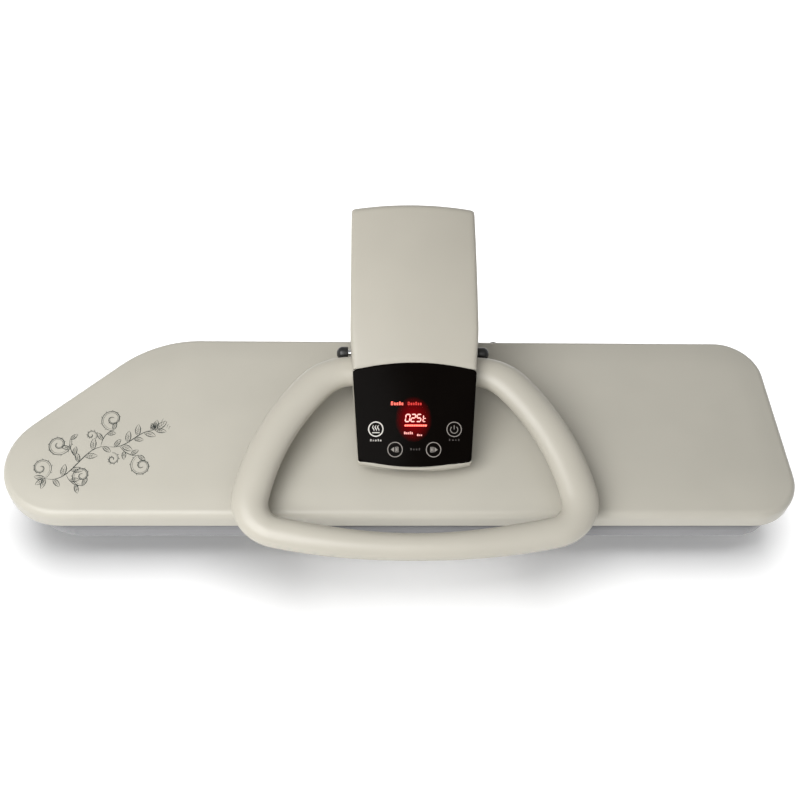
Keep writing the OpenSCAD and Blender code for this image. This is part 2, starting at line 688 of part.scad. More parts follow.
yoke_screw_x = 16;
yoke_screw_y = 18;
yoke_screw_places = [for (s = [-1, 1], q = [-1, 1]) [arm_x + s * yoke_screw_x, shaft_y + q * yoke_screw_y]];
module tilt_yoke() placed() color([0.55, 0.56, 0.58]) difference() {
  union() {
    translate([arm_x - yoke_x, yoke_y0, chamber_top]) cube([2 * yoke_x, yoke_y1 - yoke_y0, 3]);
    both_sides() {
      along_x(yoke_x - yoke_t, yoke_x)
        polygon([[yoke_y0, chamber_top], [yoke_y1, chamber_top], shaft + [12.6, 0], shaft + [-12.6, 0]]);
      eye(shaft, 13, yoke_x - yoke_t, yoke_x);
      eye(rod_top, 8, yoke_x - yoke_t, yoke_x);
      web(shaft, 12, rod_top, 8, yoke_x - yoke_t, yoke_x);
    }
  }
  bar_x(arm_x - 60, arm_x + 60, shaft_y, shaft_z, shaft_r + run_gap);
  bar_x(arm_x - 60, arm_x + 60, rod_top[0], rod_top[1], rod_pin_r + press_fit);
  for (p = yoke_screw_places) post(p, chamber_top - 1, 6, screw_r + screw_fit);
}

module yoke_screws() placed() color([0.6, 0.6, 0.62]) for (p = yoke_screw_places) {
  translate([p[0], p[1], chamber_top + 3]) cylinder(h = screw_head_h, r = screw_head_r);
  translate([p[0], p[1], chamber_top - 1.8]) cylinder(h = 5, r = screw_r);
}

module yoke_pin() placed() color([0.75, 0.76, 0.78])
  bar_x(arm_x - yoke_x - 1.5, arm_x + yoke_x + 1.5, rod_top[0], rod_top[1], rod_pin_r);

module thermostat() placed() color([0.16, 0.15, 0.14]) translate([-280, -20, hot_top]) {
  cylinder(h = 3, r = 14);
  translate([0, 0, 3 - cut]) cylinder(h = 7, r = 10);
}

module thermal_fuse() placed() color([0.85, 0.83, 0.76]) translate([270, -20, hot_top]) {
  translate([-14, -5, 0]) cube([28, 10, 2]);
  translate([-11, 0, 5 - cut]) rotate([0, 90, 0]) cylinder(h = 22, r = 3.2);
}

shield_inset = 27;
shield_gap = 2;
shield_z = shell_top - shell_wall - 3;
shell_boss_r = 5;
shield_feet = [[-250, -80], [-250, 80], [290, -80], [290, 80]];
module heat_shield() placed() color([0.80, 0.81, 0.82]) difference() {
  union() {
    plate_slab(shield_z, 1, shield_inset);
    for (p = shield_feet) translate([p[0], p[1], hot_top]) cylinder(h = shield_z - hot_top + 0.5, r = 4);
  }
  arm_block(chamber_l / 2 + shield_gap, chamber_front - shield_gap, chamber_rear + shield_gap,
    shield_z - 1, 4);
}

// Levels of the upper shell's outside, from its rim to its crown
shell_levels = [
  [shell_bottom, 0], [shell_top - shell_edge_r, 0], [shell_top - 0.62 * shell_edge_r, 0.08 * shell_edge_r],
  [shell_top - 0.29 * shell_edge_r, 0.29 * shell_edge_r],
  [shell_top - 0.08 * shell_edge_r, 0.62 * shell_edge_r],
  [shell_top, shell_edge_r], [shell_top + 0.55 * shell_crown, 2.4 * shell_edge_r],
  [shell_top + 0.88 * shell_crown, 0.6 * end_r], [shell_top + shell_crown, 0.85 * end_r]
];
slot_half_w = yoke_x + 8;
slot_y0 = yoke_y0 - 14;
slot_y1 = yoke_y1 + 10;
module upper_shell() placed() color([0.80, 0.78, 0.72]) {
  difference() {
    levels(plate_corners, shell_levels);
    levels(plate_corners, [for (l = shell_levels) [
      l[0] == shell_bottom ? l[0] - 1 : l[0] - shell_wall, min(l[1] + shell_wall, end_r - 1)]]);
    translate([arm_x - slot_half_w, slot_y0, shell_top - 2 * shell_wall])
      cube([2 * slot_half_w + 26, slot_y1 - slot_y0, 4 * shell_wall]);
  }
  for (p = head_screw_places) translate([p[0], p[1], hot_top]) difference() {
    cylinder(h = shell_top - shell_wall - hot_top + 2, r = shell_boss_r);
    translate([0, 0, -1]) cylinder(h = shell_top - shell_wall - hot_top - 1, r = screw_r + screw_fit);
  }
}

// Levelling rod between the base and the yoke
rod_half_t = 4;
rod_eye_r = 8;
rod_base_eye_r = 6.5;
rod_web = 4.2;
module levelling_rod() placed() color([0.60, 0.61, 0.62]) difference() {
  at_arm() union() {
    eye(rod_base, rod_base_eye_r, -rod_half_t, rod_half_t);
    eye(rod_top, rod_eye_r, -rod_half_t, rod_half_t);
    web(rod_base, rod_web, rod_top, rod_web, -rod_half_t, rod_half_t);
  }
  bar_x(arm_x - 10, arm_x + 10, rod_base[0], rod_base[1], rod_pin_r + run_gap);
  bar_x(arm_x - 10, arm_x + 10, rod_top[0], rod_top[1], rod_pin_r + rod_slack);
}

module rod_base_pin() placed() color([0.75, 0.76, 0.78])
  bar_x(arm_x - rod_pin_end, arm_x + rod_pin_end, rod_base[0], rod_base[1], rod_pin_r);

// Casing of the arm
function top_z(y) = y <= panel_top_y ? lip_z + (y + lip_y) * tan(panel_angle)
  : let (z0 = lip_z + (panel_top_y + lip_y) * tan(panel_angle),
    s = sin(panel_angle) - (y - panel_top_y) / back_r)
  z0 + back_r * (sqrt(1 - s * s) - cos(panel_angle));
function arm_w(y) = y <= panel_top_y
  ? mix(arm_front_w, arm_panel_w, (y + lip_y) / (panel_top_y + lip_y))
  : mix(arm_panel_w, arm_rear_w, ease((y - panel_top_y) / (shaft_y - panel_top_y)));
function crown(y) = mix(panel_crown, rear_crown, ease((y - panel_top_y) / (arm_rear - panel_top_y)));
function bow(y) = lip_bow * (1 - ease((y + lip_y) / (panel_top_y + lip_y + 60)));
function panel_bow(y) = mix(lip_bow, -panel_bow_top, (y + lip_y) / (panel_top_y + lip_y + 5));
function rear_drop(y) = let (d = max(0, y - arm_rear + rear_edge_r))
  rear_edge_r - sqrt(rear_edge_r * rear_edge_r - d * d);

// Share of the half width and the drop at the rounded side edge
side_shares = [-1, -0.985, -0.94, -0.7, -0.35, 0, 0.35, 0.7, 0.94, 0.985, 1];
edge_drop = [4, 1.6, 0.2, 0, 0, 0, 0, 0, 0.2, 1.6, 4];

// Cross-section at y: a crowned top row and the row below it
function arm_ring(y, low, inset = 0, drop = 0, b = undef, edge = 1) = let (
  w = arm_w(y) - inset, bend = b == undef ? bow(y) : b,
  last = len(side_shares) - 1,
  row = [for (f = side_shares) let (at = y + bend * f * f)
    [w * f, at, top_z(at) - crown(at) * f * f - drop - rear_drop(y)]])
  concat([for (k = [0:last]) row[k] - [0, 0, edge * edge_drop[k]]],
    [for (k = [last:-1:0]) [row[k][0], row[k][1], low > 0 ? low : row[k][2] + low]]);

arm_stations = [
  -lip_y + 4, -lip_y + 30, -lip_y + 70, panel_top_y, panel_top_y + 30, shaft_y + 10, shaft_y + 50,
  shaft_y + 90, arm_rear - 2 * rear_edge_r, arm_rear - rear_edge_r, arm_rear - 0.5 * rear_edge_r,
  arm_rear - 0.15 * rear_edge_r, arm_rear
];
panel_bow_top = 8;
panel_edge = 3.4;
panel_stations = [-lip_y + panel_edge, -lip_y + 30, -lip_y + 70, panel_top_y + 5];

module arm_outside() at_arm() skin(concat(
  [arm_ring(-lip_y, arm_under + 2, 2, 2)], [for (y = arm_stations) arm_ring(y, arm_under)]), true);
module arm_inside() at_arm() skin([for (y = [
  -lip_y + arm_wall + 1, -lip_y + 30, -lip_y + 70, panel_top_y, panel_top_y + 30,
  shaft_y + 10, shaft_y + 50, shaft_y + 90, arm_rear - rear_edge_r, arm_rear - arm_wall])
  arm_ring(y, arm_under - 5, arm_wall, arm_wall)], true);

cheek_end_r = 38;
tank_top = tank_bottom + tank_h;
bay_half_w = tank_half_w + tank_gap;
rear_low = hinge_z + 31;
grip_hole_half_w = grip_half_w[4] + 0.6;
grip_hole_half_t = grip_half_t + 0.6;

module casing_cheek() along_x(arm_rear_w - arm_wall, arm_rear_w) union() {
  translate(hinge) circle(cheek_end_r);
  polygon([[hinge_y - cheek_end_r - 6, arm_under + 6], hinge + [-cheek_end_r, 0],
    hinge + [cheek_end_r * 0.84, 0], [arm_rear - arm_wall, rear_low], [arm_rear - arm_wall, arm_under + 6]]);
}

module casing_top() placed() color([0.76, 0.74, 0.67]) {
  difference() {
    arm_outside();
    arm_inside();
    panel_body(1, glass_t + 0.2, 2, 0.3);
    // Holes for the loop handle, the shaft's caps and the tank
    at_arm() along_x(-90, 90) union() {
      translate([grip_rear - grip_hole_half_w + grip_hole_half_t, grip_z]) circle(grip_hole_half_t);
      translate([grip_rear + grip_hole_half_w - grip_hole_half_t, grip_z]) circle(grip_hole_half_t);
      translate([grip_rear - grip_hole_half_w + grip_hole_half_t, grip_z - grip_hole_half_t])
        square([2 * (grip_hole_half_w - grip_hole_half_t), 2 * grip_hole_half_t]);
    }
    bar_x(arm_x - 90, arm_x + 90, shaft_y, shaft_z, shaft_r - 1.5 + 0.2);
    translate([arm_x - bay_half_w, arm_rear - 2 * arm_wall, tank_bottom - tank_gap])
      cube([2 * bay_half_w, 4 * arm_wall, tank_h + 2 * tank_gap]);
    translate([arm_x - 90, hinge_y - 2, arm_under - 10]) cube([180, 80, 4]);
  }
  both_sides() casing_cheek();
  at_arm() for (p = casing_screw_places) casing_boss(p);
  at_arm() along_x(-arm_rear_w, arm_rear_w) polygon([[arm_rear - arm_wall, rear_low], [arm_rear, rear_low],
    [arm_rear, arm_under + 6], [arm_rear - arm_wall, arm_under + 6]]);
}

cover_gap = 0.5;
under_rear = hinge_y - cowl_r - 6;
under_steps = [panel_top_y, panel_top_y + 12, panel_top_y + 30, shaft_y + 10, under_rear];
casing_boss_x = lever_out + 4;
casing_boss_r = 3.4;
casing_boss_h = 12;
casing_screw_places = [for (s = [-1, 1], y = [58, 112, 156]) [s * casing_boss_x, y]];
casing_rib_t = 4.8;
module casing_boss(p) difference() {
  rib_l = arm_w(p[1]) - arm_wall / 2 - casing_boss_x;
  boss_z = arm_under + arm_wall + 0.1;
  union() {
    post(p, boss_z, casing_boss_h, casing_boss_r);
    translate([p[0] - (p[0] > 0 ? 0 : rib_l), p[1] - casing_rib_t / 2, boss_z])
      cube([rib_l, casing_rib_t, casing_boss_h]);
  }
  post(p, arm_under, casing_boss_h, screw_r + screw_fit);
}
yoke_slot = yoke_x + 6;
module under_plan() difference() {
  polygon(concat(
    [for (f = [-1:0.25:1])
      [(arm_w(-lip_y) - arm_wall - 1) * f, -lip_y + arm_wall + 1.5 + bow(-lip_y) * f * f]],
    [for (y = under_steps) [arm_w(y) - arm_wall - cover_gap, y]],
    [for (y = reversed(under_steps)) [-arm_w(y) + arm_wall + cover_gap, y]]));
  translate([-yoke_slot, slot_y0]) square([2 * yoke_slot + 28, slot_y1 - slot_y0]);
  for (s = [-1, 1]) translate([s * (lever_in + lever_t / 2) - lever_t / 2 - 1, shaft_y + 17])
    square([lever_t + 2, hinge_y - shaft_y - 43]);
  translate([-rod_half_t - 3, hinge_y - 88]) square([2 * rod_half_t + 6, 60]);
}
module casing_base() placed() color([0.74, 0.72, 0.65]) difference() {
  at_arm() translate([0, 0, arm_under]) linear_extrude(arm_wall) under_plan();
  at_arm() for (p = casing_screw_places) post(p, arm_under - 1, arm_wall + 2, screw_r + screw_fit);
}

module casing_screws() placed() color([0.6, 0.6, 0.62]) at_arm() for (p = casing_screw_places) {
  post(p, arm_under - 1.4, 1.4, screw_head_r);
  post(p, arm_under - 1.4, casing_boss_h, screw_r);
}

// Levers from the hinge to the shaft and on to the handle's tube
elbow = [184, 146];
lug_angle = lock_angle + 18.5;
module lever() difference() {
  union() {
    eye(hinge, 19, lever_in, lever_out);
    web(hinge, 19, elbow, 14, lever_in, lever_out);
    eye(elbow, 14, lever_in, lever_out);
    web(elbow, 14, shaft, 14, lever_in, lever_out);
    eye(shaft, 14, lever_in, lever_out);
    web(shaft, 13, [grip_rear, grip_z], 13, lever_in, lever_out);
    eye([grip_rear, grip_z], 13.5, lever_in, lever_out);
    web(hinge, 9, hinge + (lock_arm + 3) * [cos(lug_angle), sin(lug_angle)], 4, lever_in, lever_out);
  }
  bar_x(0, 90, hinge_y, hinge_z, pin_r + run_gap + bush_wall);
  bar_x(0, 90, shaft_y, shaft_z, shaft_r + press_fit);
  bar_x(0, 90, grip_rear, grip_z, core_r + press_fit);
  bar_x(0, 90, tie_at[0], tie_at[1], tie_r - 2 + press_fit);
}
module lever_left() placed() color([0.55, 0.56, 0.58]) at_arm() mirror([1, 0, 0]) lever();
module lever_right() placed() color([0.55, 0.56, 0.58]) at_arm() lever();

module lever_bushes() placed() color([0.70, 0.58, 0.32]) both_sides() difference() {
  union() {
    bar_x(lever_in, lever_out, hinge_y, hinge_z, pin_r + run_gap + bush_wall - press_fit);
    bar_x(lever_in - 1.5, lever_in, hinge_y, hinge_z, pin_r + 4);
  }
  bar_x(0, 90, hinge_y, hinge_z, pin_r + run_gap);
}

module lever_tie() placed() color([0.60, 0.61, 0.62]) {
  bar_x(arm_x - lever_in, arm_x + lever_in, tie_at[0], tie_at[1], tie_r);
  bar_x(arm_x - lever_out, arm_x + lever_out, tie_at[0], tie_at[1], tie_r - 2);
}

// Cross shaft, its washers and the domed knobs on its ends
shaft_step = arm_w(shaft_y) - arm_wall - 1;
module cross_shaft() placed() color([0.78, 0.79, 0.80]) {
  bar_x(arm_x - shaft_step, arm_x + shaft_step, shaft_y, shaft_z, shaft_r);
  bar_x(arm_x - arm_w(shaft_y) - 12, arm_x + arm_w(shaft_y) + 12, shaft_y, shaft_z, shaft_r - 1.5);
}

knob_gap = 3.5;
module shaft_knobs() placed() color([0.05, 0.05, 0.05]) both_sides() difference() {
  translate([arm_w(shaft_y) + knob_gap, shaft_y, shaft_z]) rotate([0, 90, 0]) rotate_extrude()
    polygon([[0, 0], [knob_r * 0.94, 0], [knob_r, 1], [knob_r, knob_l * 0.55], [knob_r * 0.92, knob_l * 0.76],
      [knob_r * 0.68, knob_l * 0.92], [knob_r * 0.35, knob_l * 0.985], [0, knob_l]]);
  bar_x(0, arm_w(shaft_y) + 12.2, shaft_y, shaft_z, shaft_r - 1.5 + press_fit);
}

module shaft_washers() placed() color([0.78, 0.79, 0.80]) both_sides() difference() {
  bar_x(yoke_x + 0.5, yoke_x + 2.5, shaft_y, shaft_z, shaft_r + 5);
  bar_x(0, 90, shaft_y, shaft_z, shaft_r + press_fit);
}

// The loop handle's middle line: four arcs to each side of the front
function turn_from(p, h, r, a) = p + r * [sin(h + a) - sin(h), cos(h) - cos(h + a)];
h1 = grip_front_turn;
h2 = grip_corner_heading;
h3 = grip_side_heading;
q0 = [0, -grip_front];
q1 = turn_from(q0, 0, grip_front_r, h1);
q2 = turn_from(q1, h1, grip_corner_r, h2 - h1);
q3 = turn_from(q2, h2, grip_side_r, h3 - h2);
grip_rear_r = (grip_rear - q3[1]) / (1 + cos(h3));
q4 = turn_from(q3, h3, grip_rear_r, 180 - h3);
function grip_arc(p, h, r, a, w0, w1, n) = [for (k = [1:n]) let (t = k / n)
  [turn_from(p, h, r, a * t), h + a * t, mix(w0, w1, ease(t))]];
gw = grip_half_w;
grip_end_x = arm_w(grip_rear) - arm_wall - 1.5;
half_loop = concat(
  [[q0, 0, gw[0]]],
  grip_arc(q0, 0, grip_front_r, h1, gw[0], gw[1], 5),
  grip_arc(q1, h1, grip_corner_r, h2 - h1, gw[1], gw[2], 8),
  grip_arc(q2, h2, grip_side_r, h3 - h2, gw[2], gw[3], 6),
  grip_arc(q3, h3, grip_rear_r, 180 - h3, gw[3], gw[4], 6));
grip_loop = concat(
  [[[-grip_end_x, grip_rear], -180, gw[4]]],
  [for (s = reversed(half_loop)) [[-s[0][0], s[0][1]], -s[1], s[2]]],
  [for (k = [1:len(half_loop) - 1]) half_loop[k]],
  [[[grip_end_x, grip_rear], 180, gw[4]]]);
loop_normal = unit([0, -grip_slope, 1]);
function loop_z(y) = grip_z + grip_slope * (y - grip_rear);
function loop_point(s) = [s[0][0], s[0][1], loop_z(s[0][1])];
function loop_side(h) = unit([sin(h), -cos(h), -cos(h) * grip_slope]);
// Half section of a grip shell, from sign 1 for the upper and -1 for the lower
function grip_ring(s, sign, n = 8) = let (
  p = loop_point(s), out = loop_side(s[1]),
  outer = [for (k = [0:n]) let (a = 180 * k / n)
    p + out * s[2] * cos(a) + loop_normal * sign * (0.1 + (grip_half_t - 0.1) * sin(a))],
  inner = [for (k = [n:-1:0]) let (a = 180 * k / n)
    p + out * (s[2] - 4.5) * cos(a) + loop_normal * sign * (0.1 + (core_r + 0.1) * sin(a))])
  sign > 0 ? reversed(concat(outer, inner)) : concat(outer, inner);

module handle_upper() placed() color([0.82, 0.80, 0.74]) at_arm()
  skin([for (s = grip_loop) grip_ring(s, 1)], true);
module handle_lower() placed() color([0.82, 0.80, 0.74]) at_arm()
  skin([for (s = grip_loop) grip_ring(s, -1)], true);
core_bend_r = core_r - 0.2;
core_bar = q4[0] + 2;
module handle_core() placed() color([0.60, 0.61, 0.62]) at_arm() {
  skin([for (k = [1:len(grip_loop) - 2]) let (s = grip_loop[k], p = loop_point(s), out = loop_side(s[1]))
    [for (k = [11:-1:0]) p + core_bend_r * (out * cos(30 * k + 7) + loop_normal * sin(30 * k + 7))]]);
  bar_x(-core_bar, core_bar, grip_rear, grip_z, core_r);
}

// Control panel
module panel_body(over, depth, raise = 0, longer = 0, edge = 0) at_arm() skin([
  for (k = [0:len(panel_stations) - 1]) let (
    last = len(panel_stations) - 1,
    y = panel_stations[k] + (k == 0 ? -longer : k == last ? longer : 0))
  arm_ring(y, -depth - raise, -over, -raise, panel_bow(y), edge)], true);

module panel_glass() placed() color([0.04, 0.03, 0.02]) panel_body(-0.3, glass_t, 0.1, 0, 0.3);

carrier_t = 2;
module panel_carrier() placed() color([0.10, 0.10, 0.10]) difference() {
  translate([0, 0, -glass_t - gap]) panel_body(-arm_wall - 5, carrier_t, 0, -7);
  on_panel(0, display_up) translate([-display_half_w - 1, -display_half_h - 1, -20])
    cube([2 * display_half_w + 2, 2 * display_half_h + 2, 40]);
}

// Frame on the panel's plane, at a distance up the slope from its lower end
module on_panel(x, y) translate([arm_x + x, -lip_y + y * cos(panel_angle), lip_z + y * sin(panel_angle)])
  rotate([panel_angle, 0, 0]) children();

display_half_w = 21;
display_half_h = 25;
display_up = 63;
module display_module() placed() color([0.20, 0.04, 0.03]) on_panel(0, display_up)
  translate([-display_half_w, -display_half_h, -board_depth + 0.1])
    cube([2 * display_half_w, 2 * display_half_h, board_depth - glass_t - 3.2]);

board_depth = 14;
key_places = [[-49, 50], [49, 50], [-24, 24], [24, 24]];
module touch_pads() placed() color([0.80, 0.60, 0.30]) for (p = key_places) on_panel(p[0], p[1])
  translate([0, 0, -board_depth + 0.1])
    cylinder(h = board_depth - glass_t - carrier_t - 2.6 - 3 * pow(p[0] / 60, 2), r = 7);

module control_board() placed() color([0.10, 0.32, 0.16]) on_panel(0, 0)
  translate([-58, 18, -board_depth - 1.6]) cube([116, 84, 1.6]);

power_z = arm_under + arm_wall + 6;
module power_board() placed() color([0.10, 0.32, 0.16]) at_arm() {
  translate([-60, -46, power_z]) cube([120, 74, 1.6]);
  for (x = [-54, 54], y = [-40, 22])
    post([x, y], arm_under + arm_wall, power_z - arm_under - arm_wall + cut, 3);
  translate([-46, -16, power_z + 1.5]) cube([26, 30, 9]);
  translate([10, -8, power_z + 1.5]) cube([18, 24, 12]);
}

// Pump, hose and tank
shelf_t = 3;
shelf_z = tank_bottom - tank_gap - shelf_t;
shelf_y0 = shaft_y + 18;
pump_x = elbow_x;
pump_y = shaft_y + 21;
pump_z = shelf_z + shelf_t + 11;
nozzle_l = 8;
module tank_shelf() placed() color([0.70, 0.69, 0.64]) difference() {
  translate([arm_x - arm_rear_w + arm_wall + cover_gap, shelf_y0, shelf_z])
    cube([2 * (arm_rear_w - arm_wall - cover_gap), arm_rear - arm_wall - cover_gap - shelf_y0, shelf_t]);
  translate([arm_x - 12, shelf_y0 - 1, shelf_z - 1]) cube([24, 12, shelf_t + 2]);
}

module pump() placed() color([0.85, 0.83, 0.76]) {
  translate([pump_x - 18, pump_y, shelf_z + shelf_t]) cube([30, tank_front - pump_y - 3, 22]);
  translate([pump_x, pump_y - nozzle_l, pump_z]) rotate([-90, 0, 0]) cylinder(h = nozzle_l + 1, r = 4);
}

hose_r = 5.2;
hose_bend = pump_y - nozzle_l - elbow_y - 2;
hose_points = concat(
  [for (up = [4.5, 20, 40]) [elbow_x, elbow_y, chamber_top + up]],
  [for (a = [0:15:90]) [elbow_x, elbow_y + hose_bend * (1 - cos(a)), pump_z - hose_bend * (1 - sin(a))]],
  [[elbow_x, pump_y - nozzle_l, pump_z]]);
module feed_hose() placed() color([0.85, 0.85, 0.82]) difference() {
  tube(hose_points, hose_r, 12);
  translate([elbow_x, elbow_y, chamber_top]) cylinder(h = 13, r = elbow_r + 0.1);
}

valve_x = arm_x - 30;
valve_z = tank_bottom + 9;
module valve_socket() placed() color([0.12, 0.12, 0.12]) difference() {
  translate([valve_x, tank_front - 12, valve_z]) rotate([-90, 0, 0]) cylinder(h = 11, r = 8);
  translate([valve_x, tank_front - 9, valve_z]) rotate([-90, 0, 0]) cylinder(h = 20, r = 5.3);
}

module tank_valve() placed() color([0.15, 0.15, 0.16])
  translate([valve_x, tank_front - 8, valve_z]) rotate([-90, 0, 0])
  cylinder(h = 8, r = 5);

lid_t = 3;
mouth_half_w = 26;
mouth_z0 = tank_top - 33;
mouth_h = 24;
module water_tank() placed() color([0.55, 0.62, 0.66, 0.6]) difference() {
  arm_block(tank_half_w, tank_front, arm_rear, tank_bottom, tank_h - lid_t);
  translate([arm_x - tank_half_w + tank_wall, tank_front + tank_wall, tank_bottom + tank_wall])
    cube([2 * (tank_half_w - tank_wall), arm_rear - tank_front - 2 * tank_wall, tank_h]);
  arm_block(mouth_half_w, arm_rear - 2 * tank_wall, arm_rear + 2 * tank_wall, mouth_z0, mouth_h);
}

module tank_lid() placed() color([0.50, 0.57, 0.62]) {
  arm_block(tank_half_w, tank_front, arm_rear, tank_top - lid_t, lid_t);
  translate([arm_x - tank_half_w + tank_wall + gap, tank_front + tank_wall + gap, tank_top - lid_t - 3])
    cube([2 * (tank_half_w - tank_wall - gap), arm_rear - tank_front - 2 * (tank_wall + gap), 3 + cut]);
}

flap_t = 2.5;
flap_pin_r = 1.2;
flap_hinge = [arm_rear + 2.2, mouth_z0 - 3.5];
module filler_flap() placed() color([0.78, 0.76, 0.70]) difference() {
  union() {
    arm_block(mouth_half_w + 3, arm_rear + 0.2, arm_rear + 0.2 + flap_t, mouth_z0 - 1.5, mouth_h + 4);
    for (x = [-20, 14]) bar_x(arm_x + x, arm_x + x + 6, flap_hinge[0], flap_hinge[1], 2);
    for (x = [-20, 14]) translate([arm_x + x, arm_rear + 0.2, flap_hinge[1]]) cube([6, flap_t, 4]);
  }
  bar_x(arm_x - 40, arm_x + 40, flap_hinge[0], flap_hinge[1], flap_pin_r + run_gap);
}

module flap_pin() placed() color([0.75, 0.76, 0.78]) {
  bar_x(arm_x - 26, arm_x + 26, flap_hinge[0], flap_hinge[1], flap_pin_r);
  for (x = [-26, 20]) difference() {
    bar_x(arm_x + x, arm_x + x + 5.6, flap_hinge[0], flap_hinge[1], 2);
    bar_x(arm_x + x - 1, arm_x + x + 7, flap_hinge[0], flap_hinge[1], flap_pin_r - 0.02);
  }
}

rubber_feet();
base_tray();
base_cover();
base_screws();
base_frame();
board_pillars();
board_rails();
board_pan();
board_pad();
board_cover();
hinge_bracket();
hinge_pins();
hinge_clips();
hinge_cowl();
lift_springs();
cord_gland();
lock_bolt();
lock_knob();
heating_plate();
heating_element();
steam_chamber();
steam_elbow();
thermostat();
thermal_fuse();
heat_shield();
upper_shell();
head_screws();
tilt_yoke();
yoke_screws();
yoke_pin();
levelling_rod();
rod_base_pin();
casing_top();
casing_base();
casing_screws();
lever_left();
lever_right();
lever_bushes();
lever_tie();
cross_shaft();
shaft_knobs();
shaft_washers();
handle_core();
handle_upper();
handle_lower();
panel_glass();
panel_carrier();
display_module();
touch_pads();
control_board();
power_board();
pump();
feed_hose();
tank_shelf();
valve_socket();
water_tank();
tank_lid();
tank_valve();
filler_flap();
flap_pin();
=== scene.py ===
"""Dressed scene of a table-top steam ironing press, closed on a pale studio floor."""

from __future__ import annotations

import json
import logging
import math
from dataclasses import dataclass, field
from enum import Enum
from typing import Iterable, Optional, Sequence

import bmesh
import bpy
from mathutils import Matrix, Vector
from mathutils.bvhtree import BVHTree
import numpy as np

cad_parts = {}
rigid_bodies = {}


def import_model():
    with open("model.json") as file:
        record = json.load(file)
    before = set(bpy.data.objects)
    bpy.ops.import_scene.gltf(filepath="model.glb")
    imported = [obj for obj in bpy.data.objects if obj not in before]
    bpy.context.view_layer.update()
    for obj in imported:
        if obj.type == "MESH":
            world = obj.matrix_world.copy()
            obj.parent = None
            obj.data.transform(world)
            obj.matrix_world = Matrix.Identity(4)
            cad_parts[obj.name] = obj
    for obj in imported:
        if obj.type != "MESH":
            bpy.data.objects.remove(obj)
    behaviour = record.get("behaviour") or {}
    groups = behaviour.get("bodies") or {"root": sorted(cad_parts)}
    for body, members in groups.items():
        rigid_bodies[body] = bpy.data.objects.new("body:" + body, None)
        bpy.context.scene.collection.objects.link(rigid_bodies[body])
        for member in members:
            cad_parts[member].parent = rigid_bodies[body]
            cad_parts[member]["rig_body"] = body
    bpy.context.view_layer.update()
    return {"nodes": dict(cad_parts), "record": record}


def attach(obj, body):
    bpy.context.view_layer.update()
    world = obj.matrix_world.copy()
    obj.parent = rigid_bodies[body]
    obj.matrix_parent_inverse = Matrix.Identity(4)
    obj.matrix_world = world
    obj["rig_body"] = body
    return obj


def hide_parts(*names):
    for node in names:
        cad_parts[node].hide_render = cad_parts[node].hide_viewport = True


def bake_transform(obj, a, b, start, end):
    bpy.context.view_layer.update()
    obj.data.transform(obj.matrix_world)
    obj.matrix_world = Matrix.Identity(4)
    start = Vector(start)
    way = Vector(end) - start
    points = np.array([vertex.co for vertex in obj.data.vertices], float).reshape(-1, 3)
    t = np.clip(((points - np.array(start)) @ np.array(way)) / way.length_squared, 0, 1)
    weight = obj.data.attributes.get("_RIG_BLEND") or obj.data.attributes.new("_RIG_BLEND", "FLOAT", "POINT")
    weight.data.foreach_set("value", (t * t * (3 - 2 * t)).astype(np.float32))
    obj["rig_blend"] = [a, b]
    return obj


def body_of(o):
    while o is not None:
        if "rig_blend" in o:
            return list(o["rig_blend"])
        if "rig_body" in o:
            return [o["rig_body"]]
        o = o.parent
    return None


LOG = logging.getLogger("press")
MM = 0.001

Point2 = tuple[float, float]
Point3 = tuple[float, float, float]
Colour = tuple[float, float, float]
Socket = bpy.types.NodeSocket

# Places in the plate's frame, in mm: how far the part's middle lies behind the frame's origin, the
# arm's middle, and the axes of the cross shaft and of the hinge as y and z
MID_Y = 25.5
ARM_X = 14.0
SHAFT: Point2 = (75.0, 172.0)
HINGE: Point2 = (208.0, 92.0)


class Body(Enum):
    """The rigid bodies that pieces ride on."""

    BASE = "base"
    ARM = "arm"
    HEAD = "head"
    ROD = "rod"
    TANK = "tank"
    FLAP = "flap"
    LOCK = "lock"


class Grain(Enum):
    """Kinds of fine surface relief."""

    MOULDED = "moulded"
    SATIN = "satin"
    CAST = "cast"


def row(x: float, y: float, z: float) -> Vector:
    """Turn a point of the plate's frame in mm into a point of the row's frame in metres."""
    return Vector((x * MM, (y - MID_Y) * MM, z * MM))


def mix(a: float, b: float, t: float) -> float:
    """Return the value between a and b at share t."""
    return a + (b - a) * t


def ease(t: float) -> float:
    """Return a smooth step from 0 to 1."""
    u = min(1.0, max(0.0, t))
    return u * u * (3 - 2 * u)


def quarter(t: float) -> float:
    """Return how far a quarter circle of radius 1 has dropped at share t."""
    return 1 - math.sqrt(max(0.0, 1 - t * t))


def tint(colour: Colour, factor: float, plus: float = 0.0) -> Colour:
    """Return a colour made lighter or darker."""
    return tuple(min(1.0, v * factor + plus) for v in colour)


def rectangle(u0: float, v0: float, u1: float, v1: float) -> list[Point2]:
    """Return the corners of a rectangle."""
    return [(u0, v0), (u1, v0), (u1, v1), (u0, v1)]


# Finishes


